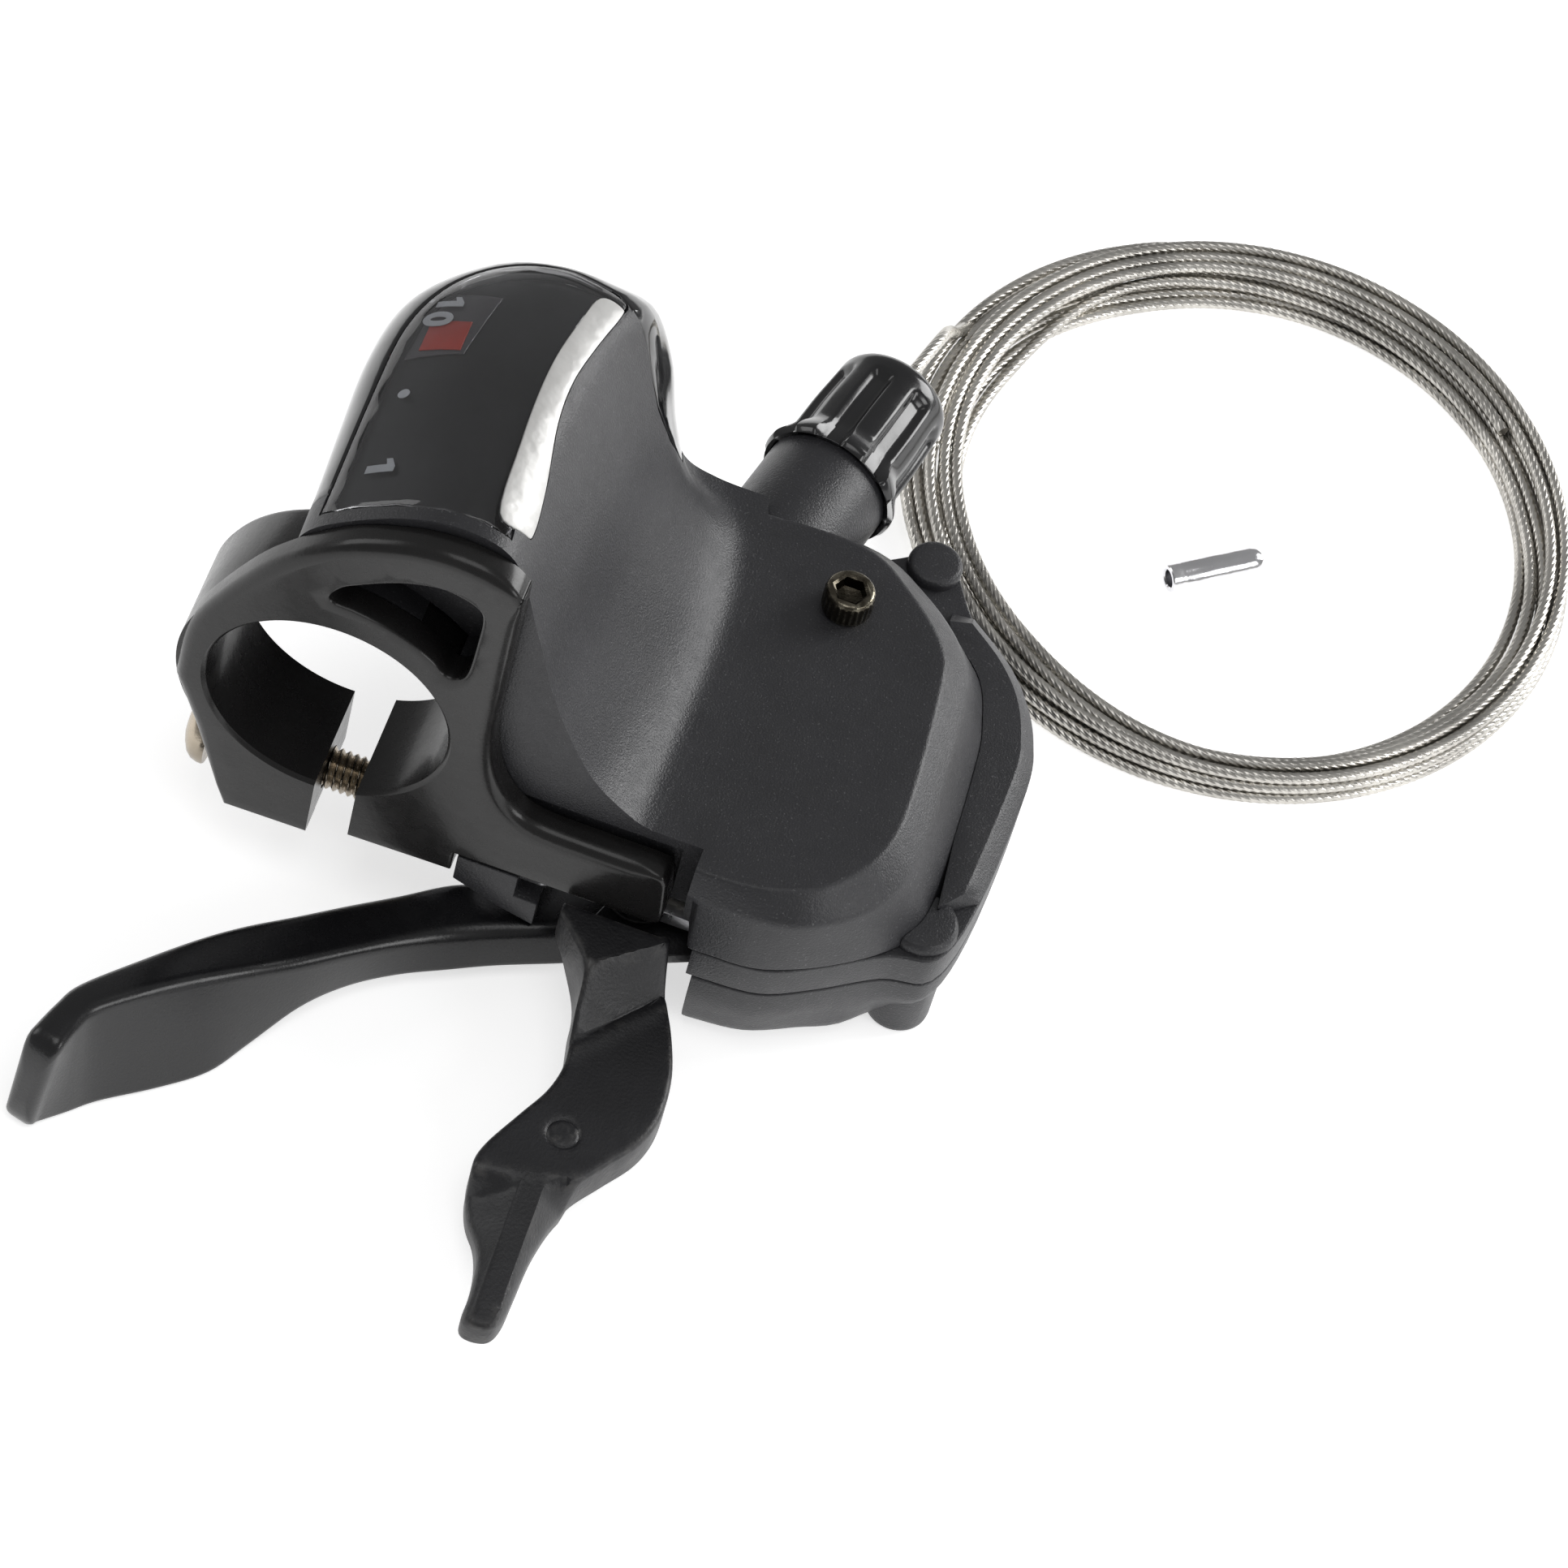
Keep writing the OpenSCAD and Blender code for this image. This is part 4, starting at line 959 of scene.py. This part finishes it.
def window_loop(grow):
    return from_plan(flat_inset(counter_clockwise(outline(WINDOW, 5, sharp=(0, 1, 5))), -grow))


TRIM = [
    (10.3, 0.5), (12.9, 0.4), (13.4, 1.6), (12.9, 6), (11.8, 12), (11.6, 17), (12.2, 22), (13.0, 27.2),
    (12.7, 28.3), (10.7, 28.1), (10.0, 24), (9.4, 19), (9.3, 14), (9.6, 8)]


def trim_loop():
    return counter_clockwise(outline(TRIM, 5))


def deck_stack(name, grow=1.0):
    centre = (36, 14)
    corners = (0, 11)
    inner, middle, skirt = [shrunk(outline(points, 6, sharp), centre, grow) for points, sharp in (
        (DECK_INNER, corners), (DECK_OUTLINE, corners), (SKIRT_OUTLINE, (0, 11, 12, 13, 14, 15)))]
    return stack(name, [(shrunk(inner, centre, 0.9), DECK_Z, 0), (inner, DECK_Z, 0.35),
                        (middle, DECK_Z - 2.5, 0.5), (skirt, SEAM_Z + 0.12, 0.2),
                        (shrunk(skirt, centre, 0.985), SEAM_Z, 0)], centre)


def dome_cutter(name, loop, deep):
    """Cutter that follows the dome down to the given depth, open above."""
    proud = 1.2
    return dome_plate(name, [on_dome(p) for p in loop], -proud, deep + proud, rim=0, step=1.6)


def trim_room(name):
    """Name, outline and depth of the cut that the trim strip sits in."""
    return name, from_plan(flat_inset(trim_loop(), -0.05)), 0.5


def make_upper_housing():
    steps_u, steps_v = 70, 48
    rings = []
    for i in range(steps_v + 1):
        v = LAST * i / steps_v
        ring = [dome_point(LAST * j / steps_u, v) for j in range(steps_u + 1)]
        y = ring[0].y
        ring += [Vector((29.1, y, SEAM_Z)), Vector((12.8, y, SEAM_Z)), Vector((12.8, y, 0))]
        rings.append(ring)
    body = loft("upper_housing_shell", rings, 40)
    deck = deck_stack("deck")
    tube = lathe("tube", TANGENT, CABLE_DIR, [(19.5, TUBE_R), (31.9, TUBE_R), (32.2, 6.02), (32.45, 5.85),
                                              (32.58, 5.6), (32.6, 5.3)], 96)
    join(body, deck, tube, angle=40)
    cut(body,
        rod("bar_room", (0, -20, 0), (0, 60, 0), BORE_R + 0.7, 96),
        rod("ring_room", (0, -20, 0), (0, BACK_Y + 0.3, 0), RING_R + 0.25, 96),
        block("shelf_room", (-2, -8, -20), (33.3, -2.1, -6)),
        block("ear_room", (-2, -8, -20), (14.2, BACK_Y + 0.3, -2)),
        block("seat_room", (-2, -8, -20), (22.3, BACK_Y + 3.3, -8.8)),
        upright("pocket_room", outline(POCKET, 4), -10, -0.4),
        block("front_cut", (-20, -10, -30), (35, FRONT_Y + 2.85, 30)),
        post("chamber", AXLE, UNDER, -7.0, CHAMBER_R, 96),
        block("guide_room", (13.1, 6.15, -7.7), (17.9, 12.7, 0.9)),
        rod("cable_way", TANGENT + CABLE_DIR * -8, TANGENT + CABLE_DIR * 27, 3.1),
        rod("adjuster_room", TANGENT + CABLE_DIR * 25.6, TANGENT + CABLE_DIR * 34, 4.9),
        post("bolt_room", BOLT_AT, -20, 0, 1.3), angle=40)
    for room in (("lens_cut", window_loop(0.07), 2.6),
                 ("bezel_room", dome_inset(counter_clockwise(bezel_loop()), -0.06), 1.9), trim_room("trim_room")):
        cut(body, dome_cutter(*room), angle=40)
    dress(body, "housing_grey_black", "housing", "upper_housing")


def make_dial():
    bezel_line = dome_inset(counter_clockwise(bezel_loop()), 0.05)
    bezel = dome_plate("indicator_bezel_gloss", bezel_line, 0.0, 1.75, rim=0.3)
    dress(bezel, "bezel_black", "housing", "indicator_bezel")
    lens = dome_plate("indicator_lens_clear", window_loop(-0.02), 0.0, 1.15, rim=0.3)
    cut(lens, dome_cutter(*trim_room("trim_seat")))
    dress(lens, "lens_smoke", "housing", "indicator_lens")
    dial = dome_plate("dial_plate_print", window_loop(-0.15), 1.75, 0.7, rim=0)
    dress(dial, "dial_black", "housing", "dial_plate")
    trim = dome_plate("trim_strip_foil", from_plan(trim_loop()), -0.03, 0.45, rim=0.12, step=0.6)
    dress(trim, "trim_silver", "housing", "trim_strip")


make_upper_housing()
make_dial()


def dial_text(text, x, y, size, name):
    curve = bpy.data.curves.new(name, "FONT")
    curve.body = text
    curve.size = 1
    curve.offset = 0.045
    curve.align_x = "CENTER"
    curve.align_y = "CENTER"
    temp = linked(name, curve)
    bpy.context.view_layer.update()
    mesh = bpy.data.meshes.new_from_object(temp.evaluated_get(bpy.context.evaluated_depsgraph_get()))
    bpy.data.objects.remove(temp)
    bm = bmesh.new()
    bm.from_mesh(mesh)
    bmesh.ops.remove_doubles(bm, verts=bm.verts, dist=1e-4)
    bmesh.ops.triangulate(bm, faces=bm.faces)
    bmesh.ops.subdivide_edges(bm, edges=[e for e in bm.edges if e.calc_length() > 0.2], cuts=1)
    bmesh.ops.triangulate(bm, faces=bm.faces)
    verts = []
    local = [v.co.copy() for v in bm.verts]
    count = len(local)
    for depth in (DIAL_DEPTH, DIAL_DEPTH + INK):
        for p in local:
            # Tops of the digits point to +X
            plan = (x + p.y * size, y - p.x * size * 1.15)
            verts.append(dome_at(dome_uv(*plan), depth))
    faces = [tuple(v.index for v in f.verts) for f in bm.faces]
    faces += [tuple(count + v.index for v in reversed(f.verts)) for f in bm.faces]
    for e in bm.edges:
        if len(e.link_faces) == 1:
            a, b = (v.index for v in e.verts)
            faces.append((a, b, count + b, count + a))
    bm.free()
    return dress(solid(name, verts, faces), "dial_black", "housing", look=PRINT)


def patch_plan(name, loop, top, thick, rim=0.1):
    return dome_plate(name, from_plan(counter_clockwise([Vector(p) for p in loop])), top, thick, rim, 0.8)


def printed(name, loop):
    dress(patch_plan(name, loop, DIAL_DEPTH, INK, 0), "dial_black", "housing", look=PRINT)


def dial_one(name, x, y):
    stroke = [(-1.2, -0.45), (1.2, -0.45), (1.2, 0.1), (0.75, 0.95), (0.25, 0.95), (0.45, 0.35), (-1.2, 0.35)]
    printed(name, dense([(x + a, y + b) for a, b in stroke], 0.4))


def make_pointer():
    dial_one("dial_digit_low", -1.6, 3.7)
    dial_one("dial_digit_high", -1.7, 23.4)
    dial_text("0", -2.3, 21.2, 3.3, "dial_digit_zero")
    printed("dial_mark_middle", circle(0.5, 24, (-2.3, 11.9)))
    square = dense([(-2.8, 17.3), (0.9, 17.3), (0.9, 21.1), (-2.8, 21.1)], 0.8)
    dress(patch_plan("pointer_mark", square, 1.45, 0.1), "pointer_orange", "pointer", "pointer")
    window = dense([(-3.9, 16.4), (1.3, 17.0), (2.5, 25.2), (-1.6, 25.4), (-3.4, 21.8)], 0.8)
    dress(patch_plan("pointer_slide_window", window, 1.6, 0.1), "dial_black", "pointer", look=SLIDER)


make_pointer()


# ---------- lower shells ----------
def make_shells():
    centre = (40, 15)
    tier = outline(TIER_OUTLINE, 5, (0, 2, 3, 15, 16, 20))
    cover = outline(COVER_OUTLINE, 5, (0, 12, 13, 17))
    small = shrunk(tier, centre, 0.97)
    seam, low_seam = SEAM_Z - 0.04, LOWER_SEAM_Z + 0.05
    middle = stack("middle_housing_shell", [(small, seam, 0), (tier, seam, 0.25), (tier, low_seam, 0.25),
                                            (small, low_seam, 0)], centre)
    low, high = [outline(edge + [(56, 5), (54, 20), (48, end)], 6, (0, 5, 6, 8)) for edge, end in (
        ([(50, 38.2), (54.4, 34.6), (57.2, 31), (59, 27), (59.9, 21.6), (59.4, 8)], 38),
        ([(50, 36.6), (53.6, 33.6), (56.2, 30.2), (57.8, 26), (58.4, 21.4), (57.8, 7.4)], 36))]

    def ring(loop, z):
        return [(p.x, p.y, z) for p in loop]

    def between(share):
        return [a.lerp(b, share) for a, b in zip(low, high)]

    ledge = loft("ledge", [ring(low, SEAM_Z - 0.5), ring(low, -13.3), ring(between(0.12), -13.05),
                           ring(between(0.86), -12.1), ring(high, -11.92),
                           ring(shrunk(high, (56, 20), 0.96), -11.9)])
    collars = {"a": [(0, 2.6), (4.3, 2.6), (4.6, 2.5), (4.78, 2.3), (4.85, 2.0)],
               "b": [(0, 3.05), (0.5, 3.2), (2.2, 3.35), (3.9, 3.3), (4.4, 3.15), (4.7, 2.85), (4.8, 2.4)]}
    join(middle, ledge, *[turned("collar_" + key, BOSSES[key][0], low_seam, profile)
                          for key, profile in collars.items()])
    opening = [(18, -10), (36.4, -10), (38, 0), (30, 10), (18, 10)]
    tube_room = (TANGENT + CABLE_DIR * 20, TANGENT + CABLE_DIR * 40, TUBE_R + 0.1)
    cut(middle, well("chamber", AXLE, CHAMBER_R + 0.1, 96), prism("opening", opening, UNDER, 0),
        rod("tube_room", *tube_room), deck_stack("skirt_room", 1.004), well("bolt_room", BOLT_AT, 1.3))
    dress(middle, "housing_grey_black", "housing", "middle_housing")

    base = stack("bottom_cover_shell", [(small, LOWER_SEAM_Z - 0.05, 0), (tier, LOWER_SEAM_Z - 0.05, 0.25),
                                        (tier, LOWER_SEAM_Z - 3, 1.0), (cover, -25.2, 1.4),
                                        (shrunk(cover, centre, 0.9), -26.0, 0)], centre)
    height = LOWER_SEAM_Z - TABLE
    join(base, *[turned("boss_" + key, at, TABLE, [
        (0, r - 0.55), (0.12, r - 0.25), (0.4, r - 0.06), (0.9, r), (height - 0.35, r + 0.05),
        (height - 0.06, r - 0.1)]) for key, (at, r) in BOSSES.items()])
    inside = -24.6
    cutters = [post("chamber", AXLE, inside, 0, CHAMBER_R - 0.9, 96),
               prism("lever_room", [(10, -12), (37.2, -12), (37.2, -1), (30, 14), (10, 26)], inside, 0),
               prism("opening", [(10, -12), (37.4, -12), (37.4, -2.4), (28, 2), (10, 12)], UNDER, 0),
               post("hold_room", HOLD_AT, -18.9, 0, 2.5),
               prism("tail_room", [(36, -5.6), (41.4, -5.6), (41.8, 0), (36, 2)], -19.4, 0),
               rod("tube_room", *tube_room), well("axle_room", AXLE, 3.0)]
    for at, _ in BOSSES.values():
        cutters += [well("screw_way", at, 1.25), post("head_way", at, UNDER, TABLE + 1.6, 2.1)]
    cut(base, *cutters)
    dress(base, "housing_grey_black", "housing", "bottom_cover")


make_shells()


# ---------- levers ----------
def make_thumb_lever():
    near = [
        (31, -0.9, -21), (27.6, -2.9, -21), (24, -5, -21), (19.5, -7.1, -21), (15.5, -9.4, -20.9),
        (11.9, -12.3, -20.4), (8.2, -15.8, -19.5), (4.7, -19.2, -18.5), (1, -22.7, -17), (-2.6, -25.8, -16),
        (-6.2, -29.3, -15.2), (-9.5, -32.7, -15), (-10.4, -34.9, -15.05), (-10.9, -37.3, -15.3)]
    far = [
        (28, 5, -21), (25, 2.8, -21), (22, 0.5, -21), (18.2, -1.5, -21), (14.1, -3.3, -21), (9.9, -6.9, -20.5),
        (6.2, -10.2, -19.8), (2.6, -13.6, -18.9), (-1, -16.8, -18.2), (-4.2, -20.2, -17.4), (-8, -25, -16.3),
        (-12.2, -30.4, -15.4), (-13.4, -33.4, -15.1), (-14.3, -36.4, -15.3)]
    foot = [
        (33.4, -1.2, -24.4), (30, -3.3, -24.8), (26.6, -5.3, -25), (20.5, -8.3, -25), (16.4, -10.6, -25),
        (12.4, -12.9, -25), (8.7, -15.8, -25), (5.6, -19.6, -25), (2.6, -24.2, -26.3), (0.3, -28.3, -26.45),
        (-3.2, -31.6, -26.45), (-7.6, -35.0, -26.45), (-9.8, -37.2, -26.45), (-11.9, -39.2, -26.4)]
    near, far, foot = ([Vector(p) for p in line] for line in (near, far, foot))
    rings = []
    rings = []
    per = 6
    soft = [1.15, 1.5, 0.9, 0.8]
    low_z = -24
    for i in range((len(near) - 1) * per + 1):
        t = i / per
        a, b, d = along(near, t), along(far, t), along(foot, t)
        c = d + (b - a) * 0.86
        c.z = d.z
        corners = [a, b, c, d]
        rings.append([p for k in range(4) for p in soft_corner(corners[k - 1], corners[k], corners[(k + 1) % 4],
                                                               soft[k], 7)])
    last = rings[-1]
    middle = sum(last, Vector()) / len(last)
    ahead = (rings[-1][0] - rings[-2][0]).normalized()
    ahead = Vector((ahead.x, ahead.y, 0)).normalized()
    for push, size in ((0.5, 0.97), (0.9, 0.9), (1.25, 0.78), (1.5, 0.6), (1.6, 0.3)):
        rings.append([middle + (p - middle) * size + ahead * push for p in last])
    lever = loft("thumb_lever_moulded", rings, 50)
    root = flat_plate("root", rounded([(14.6, -6), (15, -3.8), (22, 1), (29, 8), (36, 12), (36.4, 2.4), (30.4, 0),
                                       (24, -3.8), (17, -8)], 0.8), low_z, -21.05, rim=0.3, low_rim=0.3)
    disc = turned("disc", AXLE, low_z, [(0, 10), (0.3, 10.4), (2.8, 10.4), (3.1, 10.2)], 96)
    join(lever, root, disc, angle=50)
    cut(lever, well("axle_way", AXLE, 3.05), post("spring_room", AXLE, UNDER, -22.1, 7.4), angle=50)
    join(lever, turned("core", AXLE, low_z, [(0, 3.9), (2.5, 3.9)]), angle=50)
    cut(lever, well("axle_way", AXLE, 3.05), angle=50)
    dress(lever, "lever_black", "thumb_lever", "thumb_lever")


def make_release_lever():
    loop = [
        (24.6, -5.9), (34.7, -5.9), (34.8, -6.5), (35.6, -8.4), (37.4, -11.9), (38.9, -16.3), (39.3, -20.7),
        (38.5, -24.2), (36.4, -27.6), (34.5, -30.6), (33.6, -33.4), (33.0, -37.5), (32.85, -41.4),
        (32.7, -44.4), (32.0, -45.9), (30.4, -46.3), (29.3, -45.7), (29.2, -43.4), (28.85, -40.6),
        (28.1, -38.4), (26.4, -35.6), (25.4, -32.2), (25.7, -29.7), (27.5, -25.6), (29.0, -22.3), (29.6, -19.4),
        (29.4, -17.2), (28.9, -14.6), (28.3, -11.4), (26.2, -8.8), (24.7, -7.2)]
    loop = outline(loop, 6, sharp=(0, 1))
    crest = ((29.3, -11.0), (34.6, -6.4))
    foot = ((30.3, -15.8), (35.7, -8.9))
    mark, mark_r, sides = (31.8, -26.1), 1.45, 28
    shelf_z, blade_z, flat_z = -14.7, -19.4, -18.85
    def top(p):
        past_crest = -side_of(p, *crest)
        past_foot = -side_of(p, *foot)
        if past_crest <= 0:
            z = shelf_z
        elif past_foot >= 0:
            z = blade_z
        else:
            z = shelf_z - 4.7 * past_crest / max(1e-6, past_crest - past_foot)
        z += 0.28 * math.exp(-((past_foot - 0.7) / 0.8) ** 2)
        # Past the crease the top falls away on both sides of a flat ridge
        crease = -31.4 + 0.25 * (p.x - 30)
        past = crease - p.y
        if past > 0:
            share = min(1.0, past / 15)
            ridge = -19.55 - 2.1 * share
            left_x, right_x = 29.9 + 0.2 * share, 31.9 + 0.35 * share
            side = max(0.0, left_x - p.x) * (0.62 + 0.25 * share) + max(0.0, p.x - right_x) * 1.5
            z = min(z, ridge - side * smooth_step(past, 0.0, 1.6))
        # Shallow ring around the moulded mark
        r = math.hypot(p.x - mark[0], p.y - mark[1])
        z -= 0.16 * math.exp(-((r - mark_r) / 0.16) ** 2)
        return z
    def low(p):
        if p.y > -6.2:
            return flat_z
        return flat_z - 4.9 * smooth_step(-p.y, 6.6, 12.5) - 1.1 * smooth_step(-p.y, 33, 44)

    def place(p, d):
        return Vector((p.x, p.y, top(p) - d))

    def under(p, d):
        return Vector((p.x, p.y, min(low(p), top(p) - 2.2) + d))

    lines = [[(29.1, -10.9), (34.3, -6.55)], [(30.2, -15.7), (35.3, -9.3)], [(29.9, -31.6), (30.0, -44.5)],
             [(31.9, -31.6), (32.1, -43.5)]]
    for r in (mark_r, 1.2, 1.3, 1.6, 1.72):
        line = circle(r, sides, mark)
        lines.append(line + line[:1])
    lever = plate("release_lever_moulded", loop, place, under, flat_inset, rim=0.55, low_rim=0.5, step=0.55, arc=4,
                  breaks=lines, angle=38)
    hub = flat_plate("hub", circle(2.9, 40, PIN_AT), flat_z, -17.15, rim=0.2, low_rim=0.2)
    arm = flat_plate("arm", rounded([(28.6, -0.6), (26.6, -6.6), (33.2, -6.6), (40.1, -3.2), (40.1, -1.6),
                                     (31, 0.6)], 0.7), flat_z, -17.55, rim=0.15, low_rim=0.15)
    join(lever, hub, arm, angle=38)
    cut(lever, well("pin_way", PIN_AT, 1.55), well("axle_room", AXLE, 10.3), angle=38)
    dress(lever, "release_black", "release_lever", "release_lever")


make_thumb_lever()
make_release_lever()


# ---------- adjuster knob ----------
def make_knob():
    lobes, sides = 8, 160
    start, end = 31.75, 45.5
    def flute(a, station):
        if not 31.9 <= station <= 43.5:
            return 0
        phase = (a * lobes / TAU + 0.3) % 1
        groove = smooth_step(0.30 - abs(phase - 0.5), 0.0, 0.16)
        fade = 1 - smooth_step(station, 42.0, 43.2)
        deep = 0.62 + 0.75 * (1 - smooth_step(station, 32.2, 35.2))
        return -deep * groove * fade

    profile = [(33.6, 6.22), (31.95, 6.22)]
    for k in range(45):
        station = start + k * (end - start) / 44
        flare = 1.05 * (1 - smooth_step(station, 32.4, 35.4))
        r = 5.88 + flare - 0.22 * smooth_step(station, 38, 44)
        if station < 32.4:
            r -= 0.35 * (1 - (station - start) / 0.65) ** 2
        past = max(0.0, station - 43.9)
        r -= 1.55 * (1 - math.sqrt(max(0.0, 1 - (past / 1.6) ** 2)))
        profile.append((station, r))
    profile += [(45.52, 3.6), (45.5, 2.9), (45.3, 2.62), (40.0, 2.6)]
    knob = lathe("adjuster_knob_fluted", TANGENT, CABLE_DIR, profile, sides, 40, flute)
    dress(knob, "knob_black", "adjuster_knob", "adjuster_knob")


make_knob()


# ---------- small and inner pieces ----------
def helix(name, at, low, high, radius, wire, turns, axis):
    side, up, ahead = axes_for(axis)
    at = Vector(at)
    steps, sides = int(turns * 32), 10
    centres = []
    for i in range(steps + 1):
        a = TAU * turns * i / steps
        centres.append(at + ahead * (low + (high - low) * i / steps)
                       + (side * math.cos(a) + up * math.sin(a)) * radius)
    rings = []
    for i, c in enumerate(centres):
        way = (centres[min(steps, i + 1)] - centres[max(0, i - 1)]).normalized()
        out = (c - at - ahead * (c - at).dot(ahead)).normalized()
        other = way.cross(out).normalized()
        rings.append(hoop(c, out, other, lambda a: wire, sides))
    return loft(name, rings, 60)


def make_inner():
    springs = [("spool_spring", "housing", AXLE, -9.6, -7.85, 6.9, 0.25, 3.5),
               ("thumb_return_spring", "housing", AXLE, -23.4, -22.5, 5.7, 0.3, 2.2),
               ("drive_pawl_spring", "thumb_lever", DRIVE_AT, -19.2, -18.7, 1.25, 0.12, 2.5),
               ("release_spring", "housing", PIN_AT, -16.88, -16.6, 2.15, 0.12, 1.8),
               ("hold_pawl_spring", "housing", HOLD_AT, -16.88, -16.6, 1.42, 0.1, 1.8),
               ("adjuster_spring", "housing", TANGENT, 26.1, 30.3, 3.95, 0.35, 4.5)]
    for node, body, at, low, high, radius, wire, turns in springs:
        start, axis = (at, CABLE_DIR) if at is TANGENT else ((at[0], at[1], 0), UP)
        piece = helix(node + "_wound", start, low, high, radius, wire, turns, axis)
        dress(piece, "spring_steel", body, node)
    dress(soften("lever_guard", 0.18), "release_black", "housing", "lever_guard", look=LOOK["housing_grey_black"])
    for node, body, width, slot in (("guide_block", "housing", 0.3, "nylon"),
                                    ("base_plate", "housing", 0.12, "steel"),
                                    ("lever_hub", "thumb_lever", 0.12, "steel")):
        dress(soften(node, width), slot, body, node)


make_inner()


# ---------- floor and light ----------
def make_stage():
    mesh = bpy.data.meshes.new("floor")
    half = 6.0
    corners = [(-half, -half), (half, -half), (half, half), (-half, half)]
    mesh.from_pydata([(x, y, TABLE * MM) for x, y in corners], [], [(0, 1, 2, 3)])
    floor = linked("floor", mesh)
    look = bpy.data.materials.new("floor")
    look.use_nodes = True
    shader = look.node_tree.nodes["Principled BSDF"]
    shader.inputs["Base Color"].default_value = (0.93, 0.93, 0.93, 1)
    shader.inputs["Roughness"].default_value = 0.9
    shader.inputs["Specular IOR Level"].default_value = 0.1
    shader.inputs["Emission Color"].default_value = (1, 1, 1, 1)
    shader.inputs["Emission Strength"].default_value = 0.62
    mesh.materials.append(look)


def area_light(name, direction, distance, size, power):
    data = bpy.data.lights.new(name, "AREA")
    data.shape = "RECTANGLE"
    data.size = data.size_y = size
    data.energy = power
    light = linked(name, data)
    way = Vector(direction).normalized()
    target = Vector((0.035, 0.02, 0))
    light.location = target + way * distance
    light.rotation_euler = way.to_track_quat("Z", "Y").to_euler()


def make_light():
    world = bpy.data.worlds.new("studio")
    bpy.context.scene.world = world
    world.use_nodes = True
    background = world.node_tree.nodes["Background"]
    background.inputs["Color"].default_value = (1, 1, 1, 1)
    background.inputs["Strength"].default_value = 0.30
    area_light("right_back", (0.70, 0.62, 0.36), 0.9, 0.45, 5.0)
    area_light("right_front", (0.84, -0.29, 0.42), 1.0, 0.4, 2.0)
    area_light("left", (-0.85, 0.1, 0.5), 1.1, 0.5, 1.5)
    area_light("overhead", (0.05, -0.2, 1.0), 1.2, 0.6, 2.0)
    view = bpy.context.scene.view_settings
    view.view_transform = "Standard"
    view.look = "None"


make_stage()
make_light()
